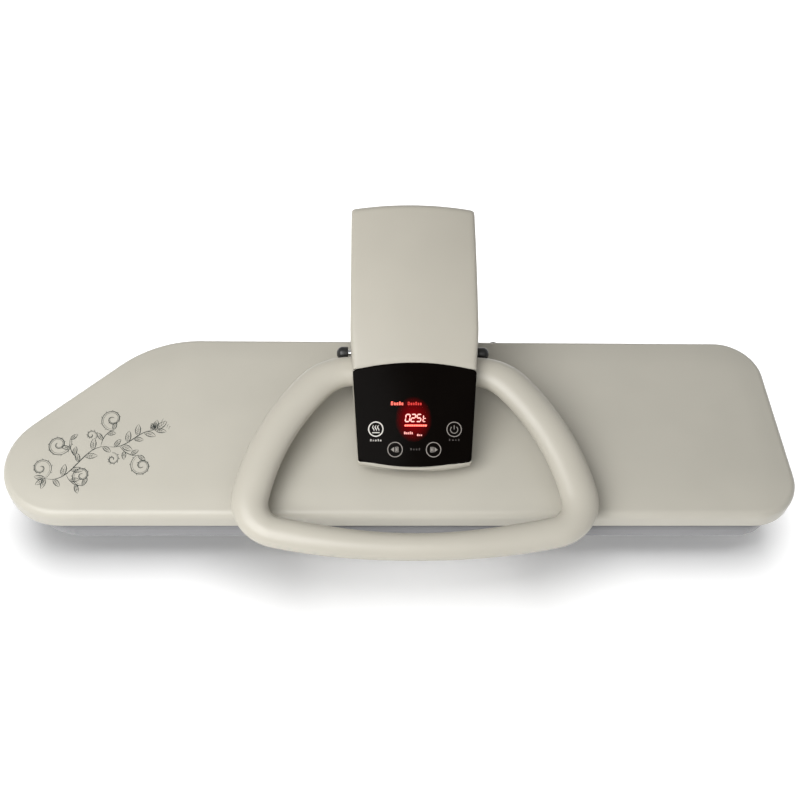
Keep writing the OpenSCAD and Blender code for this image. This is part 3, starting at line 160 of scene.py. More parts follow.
@dataclass
class NodeShop:
    """Builds the node tree of one material."""

    name: str
    tree: bpy.types.NodeTree = field(init=False)
    material: bpy.types.Material = field(init=False)
    shader: bpy.types.Node = field(init=False)

    def __post_init__(self) -> None:
        """Make the material with its shader and output."""
        self.material = bpy.data.materials.new(self.name)
        self.material.use_nodes = True
        self.tree = self.material.node_tree
        self.tree.nodes.clear()
        self.shader = self.add("ShaderNodeBsdfPrincipled")
        out = self.add("ShaderNodeOutputMaterial")
        self.link(self.shader.outputs["BSDF"], out.inputs["Surface"])

    @staticmethod
    def settle(node: bpy.types.Node, values: dict[str, object]) -> bpy.types.Node:
        """Set a node's attributes and, for names of sockets, their values, and return the node."""
        for key, value in values.items():
            if hasattr(node, key):
                setattr(node, key, value)
            else:
                node.inputs[key.replace("_", " ")].default_value = value
        return node

    def add(self, kind: str, **values: object) -> bpy.types.Node:
        """Add a node of a type with its values, and return it."""
        return self.settle(self.tree.nodes.new(kind), values)

    def fix(self, **values: object) -> None:
        """Set values on the shader's own sockets."""
        self.settle(self.shader, values)

    def link(self, a: Socket, b: Socket) -> None:
        """Join two sockets."""
        self.tree.links.new(a, b)

    def place(self, scale: Sequence[float] = (1, 1, 1), turn: float = 0.0) -> Socket:
        """Return object coordinates after a scale and a turn in degrees about Z."""
        move = self.add("ShaderNodeMapping", Scale=scale, Rotation=(0, 0, math.radians(turn)))
        self.link(self.add("ShaderNodeTexCoord").outputs["Object"], move.inputs["Vector"])
        return move.outputs["Vector"]

    def noise(self, where: Socket, scale: float, detail: float = 3.0, rough: float = 0.55) -> Socket:
        """Return the value of a noise texture."""
        node = self.add("ShaderNodeTexNoise", Scale=scale, Detail=detail, Roughness=rough)
        self.link(where, node.inputs["Vector"])
        return node.outputs["Fac"]

    def wave(self, where: Socket, direction: str, scale: float, **values: float) -> Socket:
        """Return the value of a texture of bands."""
        node = self.add("ShaderNodeTexWave", wave_type="BANDS", bands_direction=direction, Scale=scale, **values)
        self.link(where, node.inputs["Vector"])
        return node.outputs["Fac"]

    def ramp(self, value: Socket, low: float, high: float, a: float = 0.0, b: float = 1.0) -> Socket:
        """Map a value from one range to another, clamped."""
        node = self.add("ShaderNodeMapRange", From_Min=low, From_Max=high, To_Min=a, To_Max=b)
        self.link(value, node.inputs["Value"])
        return node.outputs["Result"]

    def maths(self, how: str, a: Socket, b: Socket | float) -> Socket:
        """Return the result of a math node on two values."""
        node = self.add("ShaderNodeMath", operation=how)
        self.link(a, node.inputs[0])
        if isinstance(b, (int, float)):
            node.inputs[1].default_value = b
        else:
            self.link(b, node.inputs[1])
        return node.outputs[0]

    def paint(self, share: Socket, a: Colour, b: Colour) -> None:
        """Let the base colour run from a to b."""
        node = self.add("ShaderNodeMix", data_type="RGBA")
        node.inputs[6].default_value = (*a, 1)
        node.inputs[7].default_value = (*b, 1)
        self.link(share, node.inputs[0])
        self.link(node.outputs[2], self.shader.inputs["Base Color"])

    def polish(self, value: Socket, low: float, high: float, smooth: float, matt: float) -> None:
        """Let the roughness run from smooth to matt where a value runs from low to high."""
        self.link(self.ramp(value, low, high, smooth, min(1.0, matt)), self.shader.inputs["Roughness"])

    def relief(
        self, height: Socket, strength: float, distance: float, below: Optional[bpy.types.Node] = None
    ) -> bpy.types.Node:
        """Add a bump node and join it to the shader.

        Args:
            height: the height value.
            strength: the bump's strength.
            distance: the bump's depth in metres.
            below: a bump node that this one stands on.

        Returns:
            The bump node.
        """
        bump = self.add("ShaderNodeBump", Strength=strength, Distance=distance)
        self.link(height, bump.inputs["Height"])
        if below is not None:
            self.link(below.outputs["Normal"], bump.inputs["Normal"])
        self.link(bump.outputs["Normal"], self.shader.inputs["Normal"])
        return bump


@dataclass(frozen=True)
class Finish:
    """A finish with its name, colour and roughness."""

    name: str
    colour: Colour
    rough: float = 0.5

    def make(self) -> bpy.types.Material:
        """Build the material."""
        shop = NodeShop(self.name)
        self.dress(shop)
        return shop.material

    def dress(self, shop: NodeShop) -> None:
        """Set up the material's nodes."""
        raise NotImplementedError


@dataclass(frozen=True)
class PlasticFinish(Finish):
    """Moulded plastic with a fine grain and a faint mottle."""

    grain: Grain = Grain.SATIN
    mottle: float = 0.02
    specular: float = 0.5

    def dress(self, shop: NodeShop) -> None:
        """Set up the mottle, the wear marks and the grain."""
        size, strength, depth = (900.0, 0.5, 0.00012) if self.grain is Grain.MOULDED else (1500.0, 0.25, 0.00004)
        broad = shop.noise(shop.place(), 9.0, 2.0)
        shop.paint(shop.ramp(broad, 0.35, 0.65), tint(self.colour, 1 - self.mottle), tint(self.colour, 1 + self.mottle))
        marks = shop.noise(shop.place((1, 5, 3), 24), 60.0, 4.0, 0.7)
        shop.polish(marks, 0.3, 0.75, self.rough * 0.9, self.rough * 1.18)
        shop.relief(shop.noise(shop.place(), size, 2.0), strength, depth)
        shop.fix(Specular_IOR_Level=self.specular)


@dataclass(frozen=True)
class MetalFinish(Finish):
    """Metal with brush marks along one direction, or a cast grain."""

    stretch: Sequence[float] = (2, 120, 120)
    grain: Grain = Grain.SATIN

    def dress(self, shop: NodeShop) -> None:
        """Set up the stains and the brush marks."""
        stretch, strength = (self.stretch, 0.25) if self.grain is Grain.SATIN else ((160, 160, 160), 0.6)
        streak = shop.noise(shop.place(stretch), 9.0, 4.0, 0.7)
        stain = shop.ramp(shop.noise(shop.place(), 14.0), 0.3, 0.7)
        shop.paint(stain, tint(self.colour, 0.86), tint(self.colour, 1.08))
        shop.polish(streak, 0.25, 0.75, self.rough * 0.75, self.rough * 1.4)
        shop.relief(streak, strength, 0.00006)
        shop.fix(Metallic=1.0)


@dataclass(frozen=True)
class GlossFinish(Finish):
    """Dark glossy acrylic, almost without reflection at a steep view."""

    specular: float = 0.014

    def dress(self, shop: NodeShop) -> None:
        """Set up the haze and the wiping marks."""
        shop.paint(shop.noise(shop.place(), 35.0), self.colour, tint(self.colour, 1.7))
        wipe = shop.noise(shop.place((3, 26, 3), 31), 26.0, 4.0, 0.65)
        shop.polish(wipe, 0.3, 0.8, self.rough * 0.8, self.rough * 1.6)
        shop.fix(Specular_IOR_Level=self.specular)


@dataclass(frozen=True)
class ClearFinish(Finish):
    """Translucent tinted plastic of the water tank."""

    through: float = 0.55

    def dress(self, shop: NodeShop) -> None:
        """Set up the flow marks and the transmission."""
        swirl = shop.noise(shop.place((1, 1, 4)), 22.0)
        shop.paint(swirl, self.colour, tint(self.colour, 1.25))
        shop.polish(swirl, 0.2, 0.8, self.rough * 0.8, self.rough * 1.4)
        shop.fix(Transmission_Weight=self.through, IOR=1.49)


@dataclass(frozen=True)
class WovenFinish(Finish):
    """Plain weave of a metallised cotton cover, or the felt below it."""

    pitch: float = 0.0011
    sheen: float = 0.3
    metal: float = 0.12

    def dress(self, shop: NodeShop) -> None:
        """Set up the crossed threads, the clouds and the slack."""
        scale = 0.314 / self.pitch
        warp, weft = (
            shop.wave(shop.place(turn=turn), "X", scale, Distortion=0.6, Detail=1.5, Detail_Scale=3.0)
            for turn in (0, 90)
        )
        upright = shop.wave(shop.place(), "Z", scale)
        weave = shop.maths("ADD", shop.maths("MULTIPLY", warp, weft), shop.maths("MULTIPLY", upright, 0.35))
        cloudy = shop.noise(shop.place(), 16.0, 4.0)
        tone = shop.maths("ADD", shop.maths("MULTIPLY", weave, 0.45), shop.maths("MULTIPLY", cloudy, 0.6))
        shop.paint(tone, tint(self.colour, 0.8), tint(self.colour, 1.16))
        shop.polish(cloudy, 0.3, 0.7, self.rough * 0.92, self.rough * 1.12)
        slack = shop.relief(shop.noise(shop.place((1, 1, 0.6)), 30.0), 0.35, 0.0012)
        shop.relief(weave, 0.45, 0.00025, slack)
        shop.fix(Sheen_Weight=self.sheen, Sheen_Roughness=0.45, Metallic=self.metal)


@dataclass(frozen=True)
class RubberFinish(Finish):
    """Matt rubber with bloom and fine pores."""

    def dress(self, shop: NodeShop) -> None:
        """Set up the bloom and the pores."""
        bloom = shop.noise(shop.place(), 45.0, 4.0)
        shop.paint(bloom, self.colour, tint(self.colour, 1.6, 0.004))
        shop.polish(bloom, 0.3, 0.7, self.rough * 0.9, self.rough * 1.1)
        shop.relief(shop.noise(shop.place(), 1200.0, 2.0), 0.5, 0.0001)


@dataclass(frozen=True)
class PrintFinish(Finish):
    """Ink on a surface, with an optional faint painted glow, or a lit segment of the display."""

    glow: float = 0.0

    def dress(self, shop: NodeShop) -> None:
        """Set up the uneven ink and its light: a lit segment's own light, or the faint painted glow of ink."""
        uneven = shop.ramp(shop.noise(shop.place(), 420.0), 0.3, 0.7)
        shop.paint(uneven, tint(self.colour, 0.86), self.colour)
        shop.fix(Roughness=self.rough, Specular_IOR_Level=0.1)
        if self.glow > 0:
            shop.fix(Emission_Color=(*self.colour, 1), Emission_Strength=self.glow)


FINISHES: tuple[Finish, ...] = (
    PlasticFinish("shell_cream", (0.445, 0.425, 0.368), 0.36, specular=0.4),
    PlasticFinish("casing_cream", (0.405, 0.382, 0.326), 0.4, specular=0.35),
    PlasticFinish("grip_cream", (0.432, 0.409, 0.35), 0.34, specular=0.45),
    PlasticFinish("base_cream", (0.47, 0.445, 0.385), 0.5, Grain.MOULDED, 0.03, 0.35),
    PlasticFinish("black_satin", (0.012, 0.012, 0.012), 0.35, mottle=0.1),
    PlasticFinish("red_window", (0.25, 0.01, 0.01), 0.3, mottle=0.1),
    PlasticFinish("ceramic", (0.72, 0.69, 0.60), 0.6, Grain.MOULDED, 0.04, 0.3),
    PlasticFinish("lacquered_board", (0.03, 0.16, 0.06), 0.35, Grain.MOULDED, 0.12),
    GlossFinish("smoked_acrylic", (0.0018, 0.0013, 0.001), 0.16),
    ClearFinish("tank_tint", (0.36, 0.46, 0.52), 0.22),
    MetalFinish("zinc_steel", (0.52, 0.53, 0.54), 0.34),
    MetalFinish("polished_steel", (0.66, 0.67, 0.68), 0.14),
    MetalFinish("oiled_spring", (0.2, 0.21, 0.22), 0.36),
    MetalFinish("sole_aluminium", (0.62, 0.63, 0.64), 0.3, (3, 150, 150)),
    MetalFinish("cast_aluminium", (0.5, 0.5, 0.5), 0.5, grain=Grain.CAST),
    MetalFinish("turned_brass", (0.62, 0.46, 0.2), 0.28),
    RubberFinish("foot_rubber", (0.018, 0.018, 0.018), 0.85),
    RubberFinish("milky_silicone", (0.6, 0.6, 0.56), 0.5),
    WovenFinish("metallised_cotton", (0.205, 0.205, 0.212), 0.62),
    WovenFinish("felt", (0.6, 0.56, 0.46), 0.9, 0.0022, 0.6, 0.0),
    PrintFinish("ink_scroll", (0.055, 0.062, 0.056)),
    # The white and grey inks carry a faint painted glow, though ink gives no light of its own
    PrintFinish("ink_white_painted_glow", (0.62, 0.6, 0.56), glow=0.06),
    PrintFinish("ink_grey_painted_glow", (0.26, 0.24, 0.22), glow=0.02),
    PrintFinish("ink_faint", (0.09, 0.08, 0.075)),
    PrintFinish("lit_red", (1.0, 0.16, 0.12), glow=1.7),
    PrintFinish("lit_pale", (1.0, 0.42, 0.38), glow=0.85),
    PrintFinish("lit_dim", (0.85, 0.06, 0.05), glow=0.3),
)


# Mesh work


def grown(
    bm: bmesh.types.BMesh, edges: list[bmesh.types.BMEdge], verts: list[bmesh.types.BMVert], places: Sequence[Vector]
) -> tuple[list[bmesh.types.BMEdge], list[bmesh.types.BMVert]]:
    """Extrude a line of edges and put its points somewhere.

    Args:
        bm: the bmesh.
        edges: the line's edges.
        verts: its vertices in order.
        places: where the new vertices go, in the same order.

    Returns:
        The new edges and vertices, in order.
    """
    made = bmesh.ops.extrude_edge_only(bm, edges=edges)["geom"]
    fresh = {g for g in made if isinstance(g, bmesh.types.BMVert)}
    after = []
    for old, place in zip(verts, places):
        new = next(e.other_vert(old) for e in old.link_edges if e.other_vert(old) in fresh)
        new.co = place
        after.append(new)
    lines = []
    for a, b in zip(after, after[1:] + after[:1]):
        edge = next((e for e in a.link_edges if e.other_vert(a) is b), None)
        if edge is not None:
            lines.append(edge)
    return lines, after


def outlined(
    bm: bmesh.types.BMesh, places: Iterable[Vector]
) -> tuple[list[bmesh.types.BMEdge], list[bmesh.types.BMVert]]:
    """Add a closed line through places, and return its edges and vertices."""
    verts = [bm.verts.new(p) for p in places]
    return [bm.edges.new(pair) for pair in zip(verts, verts[1:] + verts[:1])], verts


def lofted(rings: Sequence[Sequence[Vector]], caps: bool = True, joined: bool = False) -> bmesh.types.BMesh:
    """Extrude one closed ring of points through the others.

    Args:
        rings: rings with the same number of points, in metres.
        caps: whether the first and last rings are filled.
        joined: whether the last ring is bridged to the first.

    Returns:
        The bmesh.
    """
    bm = bmesh.new()
    edges, verts = outlined(bm, rings[0])
    first = list(edges)
    for ring in rings[1:]:
        edges, verts = grown(bm, edges, verts, ring)
    if joined:
        bmesh.ops.bridge_loops(bm, edges=first + edges)
    elif caps:
        bmesh.ops.contextual_create(bm, geom=first)
        bmesh.ops.contextual_create(bm, geom=edges)
    return bm


def swept(path: Sequence[Vector], radius: float, sides: int = 12, closed: bool = False) -> bmesh.types.BMesh:
    """Sweep a circle along a path.

    Args:
        path: the points of the path in metres.
        radius: the circle's radius in metres.
        sides: the number of points round the circle.
        closed: whether the path closes on itself.

    Returns:
        The bmesh of the tube.
    """
    rings = []
    count = len(path)
    side = None
    for i, point in enumerate(path):
        if closed:
            along = (path[(i + 1) % count] - path[i - 1]).normalized()
        else:
            along = (path[min(i + 1, count - 1)] - path[max(i - 1, 0)]).normalized()
        if side is None:
            side = along.cross(Vector((0, 0, 1)) if abs(along.z) < 0.9 else Vector((1, 0, 0))).normalized()
        side = (side - along * side.dot(along)).normalized()
        up = along.cross(side)
        turns = (2 * math.pi * k / sides for k in range(sides))
        rings.append([point + radius * (math.cos(a) * side + math.sin(a) * up) for a in turns])
    return lofted(rings, caps=not closed, joined=closed)


def block(low: Vector, high: Vector) -> bmesh.types.BMesh:
    """Return a box between two corners in metres."""
    bm = bmesh.new()
    place = Matrix.Translation((low + high) / 2) @ Matrix.Diagonal((*(high - low), 1))
    bmesh.ops.create_cube(bm, size=1.0, matrix=place)
    return bm


def bar(x0: float, x1: float, y: float, z: float, radius: float) -> bmesh.types.BMesh:
    """Return a round bar along X, in the plate's frame in mm."""
    bm = bmesh.new()
    place = Matrix.Translation(row((x0 + x1) / 2, y, z)) @ Matrix.Rotation(math.pi / 2, 4, "Y")
    r = radius * MM
    bmesh.ops.create_cone(bm, cap_ends=True, segments=40, radius1=r, radius2=r, depth=(x1 - x0) * MM, matrix=place)
    return bm


def flat_to_triangles(bm: bmesh.types.BMesh) -> None:
    """Split the faces of more than four corners into triangles."""
    bmesh.ops.triangulate(bm, faces=[f for f in bm.faces if len(f.verts) > 4])


def creased(bm: bmesh.types.BMesh, sharp: float) -> None:
    """Shade a mesh smooth, with sharp edges over an angle in degrees."""
    limit = math.radians(sharp)
    for face in bm.faces:
        face.smooth = True
    for edge in bm.edges:
        edge.smooth = len(edge.link_faces) != 2 or edge.calc_face_angle(0) < limit


def mesh_object(name: str, bm: bmesh.types.BMesh) -> bpy.types.Object:
    """Put a bmesh, which is freed, into the scene as an object."""
    mesh = bpy.data.meshes.new(name)
    bm.to_mesh(mesh)
    bm.free()
    obj = bpy.data.objects.new(name, mesh)
    bpy.context.scene.collection.objects.link(obj)
    return obj


@dataclass
class Bench:
    """Makes pieces out of bmesh work and puts them on their bodies."""

    finishes: dict[str, bpy.types.Material]

    def piece(
        self,
        name: str,
        bm: bmesh.types.BMesh,
        finish: str,
        body: Optional[Body],
        slot: str,
        stands_for: Iterable[str] = (),
        sharp: float = 32.0,
        outward: bool = True,
    ) -> bpy.types.Object:
        """Turn a bmesh into a finished piece.

        Args:
            name: the piece's name.
            bm: its mesh in the row's frame in metres, which is freed.
            finish: the name of its material.
            body: the body that it rides on, or None where it is set later.
            slot: the record's material slot, which is not used.
            stands_for: the CAD nodes that it replaces.
            sharp: edges over this angle in degrees are drawn sharp.
            outward: whether the normals are worked out anew.

        Returns:
            The object.
        """
        if outward:
            bmesh.ops.recalc_face_normals(bm, faces=bm.faces)
        creased(bm, sharp)
        obj = mesh_object(name, bm)
        obj.data.materials.append(self.finishes[finish])
        if body is not None:
            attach(obj, body.value)
        names = list(stands_for)
        if names:
            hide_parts(*names)
        LOG.info("piece %s: %d faces", name, len(obj.data.polygons))
        return obj

    @staticmethod
    def soften(obj: bpy.types.Object, width: float) -> None:
        """Round a piece's sharp edges with a bevel of that width in mm."""
        bevel = obj.modifiers.new("edge_round", "BEVEL")
        bevel.width = width * MM
        bevel.segments = 2
        bevel.limit_method = "ANGLE"
        bevel.angle_limit = math.radians(34)

    @staticmethod
    def thicken(obj: bpy.types.Object, name: str, wall: float) -> None:
        """Give a skin a wall of that thickness in mm on its inner side."""
        thick = obj.modifiers.new(name, "SOLIDIFY")
        thick.thickness = wall * MM
        thick.offset = -1

    @staticmethod
    def applied(obj: bpy.types.Object) -> None:
        """Bake a piece's modifiers into its mesh."""
        graph = bpy.context.evaluated_depsgraph_get()
        bpy.context.view_layer.update()
        mesh = bpy.data.meshes.new_from_object(obj.evaluated_get(graph))
        obj.modifiers.clear()
        old = obj.data
        obj.data = mesh
        mesh.name = obj.name
        bpy.data.meshes.remove(old)

    def carve(self, obj: bpy.types.Object, tools: Sequence[bmesh.types.BMesh], how: str) -> None:
        """Cut solids out of a piece, or join them to it.

        Args:
            obj: the piece, which has no other modifiers.
            tools: the solids, which are freed.
            how: DIFFERENCE or UNION.
        """
        made = []
        for k, bm in enumerate(tools):
            bmesh.ops.recalc_face_normals(bm, faces=bm.faces)
            tool = mesh_object(f"tool_{k}", bm)
            made.append(tool)
            step = obj.modifiers.new(f"tool_{k}", "BOOLEAN")
            step.operation = how
            step.solver = "MANIFOLD"
            step.object = tool
        self.applied(obj)
        for tool in made:
            mesh = tool.data
            bpy.data.objects.remove(tool)
            bpy.data.meshes.remove(mesh)

    @staticmethod
    def shade(obj: bpy.types.Object, sharp: float) -> None:
        """Shade a carved piece smooth, with sharp edges over an angle in degrees."""
        bm = bmesh.new()
        bm.from_mesh(obj.data)
        bmesh.ops.remove_doubles(bm, verts=bm.verts, dist=1e-6)
        creased(bm, sharp)
        bm.to_mesh(obj.data)
        bm.free()


# Shapes shared with the solids


@dataclass(frozen=True)
class Plan:
    """A rounded outline that can be set in all round, as corners with their radii."""

    corners: tuple[Point3, ...]

    def points(self, inset: float, steps: int) -> list[Point2]:
        """Return the outline.

        Args:
            inset: how far it is set in, in mm.
            steps: the number of parts of each corner's arc.

        Returns:
            The points, counter-clockwise, in mm.
        """
        out: list[Point2] = []
        count = len(self.corners)
        for i in range(count):
            p, v, q = (Vector(self.corners[(i + k) % count][:2]) for k in (-1, 0, 1))
            radius = self.corners[i][2]
            a, b = (p - v).normalized(), (q - v).normalized()
            half = math.acos(max(-1.0, min(1.0, a.dot(b)))) / 2
            centre = v + (a + b).normalized() * radius / math.sin(half)
            start = math.atan2((v - p).normalized().y, (v - p).normalized().x) - math.pi / 2
            turn = math.pi - 2 * half
            for k in range(steps + 1):
                angle = start + turn * k / steps
                r = radius - inset
                out.append((centre.x + r * math.cos(angle), centre.y + r * math.sin(angle)))
        return out

    def ring(self, z: float, inset: float, steps: int) -> list[Vector]:
        """Return the outline as points at one height."""
        return [row(x, y, z) for x, y in self.points(inset, steps)]


@dataclass(frozen=True)
class PlateSizes:
    """Sizes of the ironing plates, in mm."""

    length: float = 1014.0
    depth: float = 282.0
    rear: float = 147.0
    nose_r: float = 81.0
    nose_angle: float = 45.0
    shoulder_r: float = 150.0
    end_r: float = 60.0
    end_rake: float = 6.0
    board_end_inset: float = 24.0
    board_rear_inset: float = 10.0
    board_end_r: float = 50.0
    shell_bottom: float = 88.0
    shell_top: float = 114.0
    edge_r: float = 10.0
    board_bottom: float = 56.0
    board_top: float = 84.0

    def plan(self, board: bool = False) -> Plan:
        """Return the plan of the head, or of the board, which is set in at its ends and its rear."""
        front = self.rear - self.depth
        ends, behind, end_r = 0.0, 0.0, self.end_r
        if board:
            ends, behind, end_r = self.board_end_inset, self.board_rear_inset, self.board_end_r
        tip = self.nose_r - self.nose_r / math.tan(math.radians(self.nose_angle / 2))
        nose_x = -self.length / 2 + tip + ends
        shoulder_x = nose_x + (self.depth - behind) / math.tan(math.radians(self.nose_angle))
        end_x = self.length / 2 + self.end_r * self.end_rake / self.depth - ends
        return Plan((
            (nose_x, front, self.nose_r),
            (end_x, front, end_r),
            (end_x - self.end_rake, self.rear - behind, end_r),
            (shoulder_x, self.rear - behind, self.shoulder_r),
        ))


@dataclass(frozen=True)
class ArmForm:
    """Surface of the arm's casing, in mm in the plate's frame."""

    front_w: float = 71.0
    panel_w: float = 78.5
    rear_w: float = 81.5
    lip_y: float = 86.0
    lip_z: float = 144.0
    slope: float = 30.0
    panel_top_y: float = 25.0
    back_r: float = 700.0
    edge_r: float = 14.0
    rear: float = 240.0
    under: float = 136.0
    panel_crown: float = 4.0
    rear_crown: float = 9.0
    lip_bow: float = 9.0
    bow_end: float = 60.0
    panel_bow_top: float = 5.8
    panel_edge: float = 1.9
    panel_over: float = 5.0
    side_flat: float = 0.93
    side_round: float = 0.07
    side_drop: float = 4.2

    @property
    def panel_span(self) -> Point2:
        """Return where the panel starts and ends along the arm."""
        return -self.lip_y + self.panel_edge, self.panel_top_y + self.panel_over

    def top(self, y: float) -> float:
        """Return the height of the middle line at y."""
        tan = math.tan(math.radians(self.slope))
        if y <= self.panel_top_y:
            return self.lip_z + (y + self.lip_y) * tan
        z0 = self.lip_z + (self.panel_top_y + self.lip_y) * tan
        s = math.sin(math.radians(self.slope)) - (y - self.panel_top_y) / self.back_r
        return z0 + self.back_r * (math.sqrt(1 - s * s) - math.cos(math.radians(self.slope)))

    def half(self, y: float) -> float:
        """Return the half width at y."""
        if y <= self.panel_top_y:
            return mix(self.front_w, self.panel_w, (y + self.lip_y) / (self.panel_top_y + self.lip_y))
        return mix(self.panel_w, self.rear_w, ease((y - self.panel_top_y) / (SHAFT[0] - self.panel_top_y)))

    def crown(self, y: float) -> float:
        """Return the drop from the middle line to the side at y."""
        share = (y - self.panel_top_y) / (self.rear - self.panel_top_y)
        return mix(self.panel_crown, self.rear_crown, ease(share))

    def bow(self, y: float) -> float:
        """Return how far the sides lie behind the middle at the front."""
        return self.lip_bow * (1 - ease((y + self.lip_y) / (self.panel_top_y + self.lip_y + self.bow_end)))

    def panel_bow(self, y: float) -> float:
        """Return the bow of the panel's own edges at y."""
        share = (y + self.lip_y) / (self.panel_top_y + self.lip_y + self.panel_over)
        return mix(self.lip_bow, -self.panel_bow_top, share)

    def rear_drop(self, y: float) -> float:
        """Return the drop of the rounded rear edge at y."""
        d = max(0.0, y - self.rear + self.edge_r)
        return self.edge_r - math.sqrt(max(0.0, self.edge_r**2 - d * d))

    def edge_drop(self, share: float) -> float:
        """Return the drop of the rounded side edge at a share of the half width."""
        return self.side_drop * quarter(max(0.0, abs(share) - self.side_flat) / self.side_round)

    def across(
        self, y: float, inset: float = 0.0, drop: float = 0.0, bow: Optional[float] = None, edge: float = 1.0
    ) -> list[Vector]:
        """Return the top line across the casing, from left to right.

        Args:
            y: where the line lies along the arm.
            inset: how far its ends are set in.
            drop: how far it is lowered.
            bow: how far the ends lie behind the middle, or None for the casing's own bow.
            edge: the share of the rounded side edge's drop.

        Returns:
            The points, closer together at the sides.
        """
        bend = self.bow(y) if bow is None else bow
        half = self.half(y) - inset
        line = []
        for k in range(35):
            f = math.sin(math.pi / 2 * (k / 17 - 1))
            at = y + bend * f * f
            z = self.top(at) - self.crown(at) * f * f - drop - self.rear_drop(y) - edge * self.edge_drop(f)
            line.append(row(ARM_X + half * f, at, z))
        return line

    def slice(self, y: float, inset: float, up: float, down: float, bow: float, edge: float = 0.0) -> list[Vector]:
        """Return a closed section across the casing between two depths below its surface."""
        top = self.across(y, inset, up, bow, edge)
        return top + self.across(y, inset, down, bow, 0)[::-1]


# Studio


@dataclass(frozen=True)
class Softbox:
    """A square light, with its place and aim in mm, its side in metres and its power in watts."""

    name: str
    place: Point3
    aim: Point3
    size: float
    power: float
    floor_only: bool = False

    def hang(self, floor: bpy.types.Object) -> None:
        """Hang the light, for the floor alone or for all but the floor."""
        data = bpy.data.lights.new(self.name, "AREA")
        data.shape = "SQUARE"
        data.size = self.size
        data.energy = self.power
        light = bpy.data.objects.new(self.name, data)
        bpy.context.scene.collection.objects.link(light)
        at = row(*self.place)
        look = (row(*self.aim) - at).to_track_quat("-Z", "Y").to_matrix().to_4x4()
        light.matrix_world = Matrix.Translation(at) @ look
        lit = bpy.data.collections.new(self.name + "_lit")
        lit.objects.link(floor)
        lit.collection_objects[0].light_linking.link_state = "INCLUDE" if self.floor_only else "EXCLUDE"
        light.light_linking.receiver_collection = lit


@dataclass
class Studio:
    """Camera, floor and soft studio light."""

    place: Point3 = (-47.2, -745.4, 1199.1)
    pitch: float = 54.0
    yaw: float = 3.3
    roll: float = 2.91
    lens: float = 45.0
    floor_glow: float = 0.14
    surround: float = 0.33
    softboxes: tuple[Softbox, ...] = (
        Softbox("key_left", (-950, -900, 1650), (-160, -60, 100), 1.6, 48.0),
        Softbox("front_fill", (400, -1500, 1200), (60, 0, 120), 1.4, 4.0),
        Softbox("top_wash", (-300, -300, 2100), (0, -60, 0), 2.4, 4.0),
        Softbox("floor_light", (-60, 330, 2300), (0, -60, 0), 2.2, 72.0, True),
    )

    def build(self) -> None:
        """Set up the studio."""
        self.camera()
        floor = self.floor()
        self.world()
        for softbox in self.softboxes:
            softbox.hang(floor)

    def camera(self) -> None:
        """Place the camera that matches the photograph."""
        e, a, r = (math.radians(v) for v in (self.pitch, self.yaw, self.roll))
        ahead = Vector((math.sin(a) * math.cos(e), math.cos(a) * math.cos(e), -math.sin(e)))
        right = Vector((math.cos(a), -math.sin(a), 0))
        up = right.cross(ahead)
        right, up = right * math.cos(r) + up * math.sin(r), up * math.cos(r) - right * math.sin(r)
        data = bpy.data.cameras.new("studio_camera")
        data.sensor_width = 36.0
        data.sensor_fit = "HORIZONTAL"
        data.lens = self.lens
        data.clip_start, data.clip_end = 0.05, 50
        camera = bpy.data.objects.new("studio_camera", data)
        bpy.context.scene.collection.objects.link(camera)
        turn = Matrix((right, up, -ahead)).transposed().to_4x4()
        camera.matrix_world = Matrix.Translation(row(*self.place)) @ turn
        bpy.context.scene.camera = camera

    def floor(self) -> bpy.types.Object:
        """Lay the pale floor, whose far part stays white to the camera."""
        shop = NodeShop("floor_paper")
        shop.paint(shop.noise(shop.place(), 300.0, 2.0), (0.93, 0.93, 0.93), (0.95, 0.95, 0.95))
        shop.fix(Roughness=0.9, Specular_IOR_Level=0.0, Emission_Color=(1, 1, 1, 1))
        reach = shop.add("ShaderNodeVectorMath", operation="LENGTH")
        shop.link(shop.place(), reach.inputs[0])
        seen = shop.add("ShaderNodeLightPath").outputs["Is Camera Ray"]
        far = shop.maths("MULTIPLY", shop.ramp(reach.outputs["Value"], 0.8, 2.6, 0.0, 0.8), seen)
        shop.link(shop.maths("ADD", far, self.floor_glow), shop.shader.inputs["Emission Strength"])
        bm = bmesh.new()
        bmesh.ops.create_grid(bm, x_segments=4, y_segments=4, size=6.0)
        floor = mesh_object("studio_floor", bm)
        floor.data.materials.append(shop.material)
        return floor

    def world(self) -> None:
        """Set the pale surround, which is white to the camera."""
        scene = bpy.context.scene
        scene.view_settings.view_transform = "Standard"
        scene.view_settings.look = "None"
        world = bpy.data.worlds.new("studio_surround")
        world.use_nodes = True
        nodes, links = world.node_tree.nodes, world.node_tree.links
        back = nodes["Background"]
        back.inputs["Color"].default_value = (1, 1, 1, 1)
        level = nodes.new("ShaderNodeMath")
        level.operation = "MULTIPLY_ADD"
        level.inputs[1].default_value = 1 - self.surround
        level.inputs[2].default_value = self.surround
        links.new(nodes.new("ShaderNodeLightPath").outputs["Is Camera Ray"], level.inputs[0])
        links.new(level.outputs[0], back.inputs["Strength"])
        scene.world = world


# Pieces


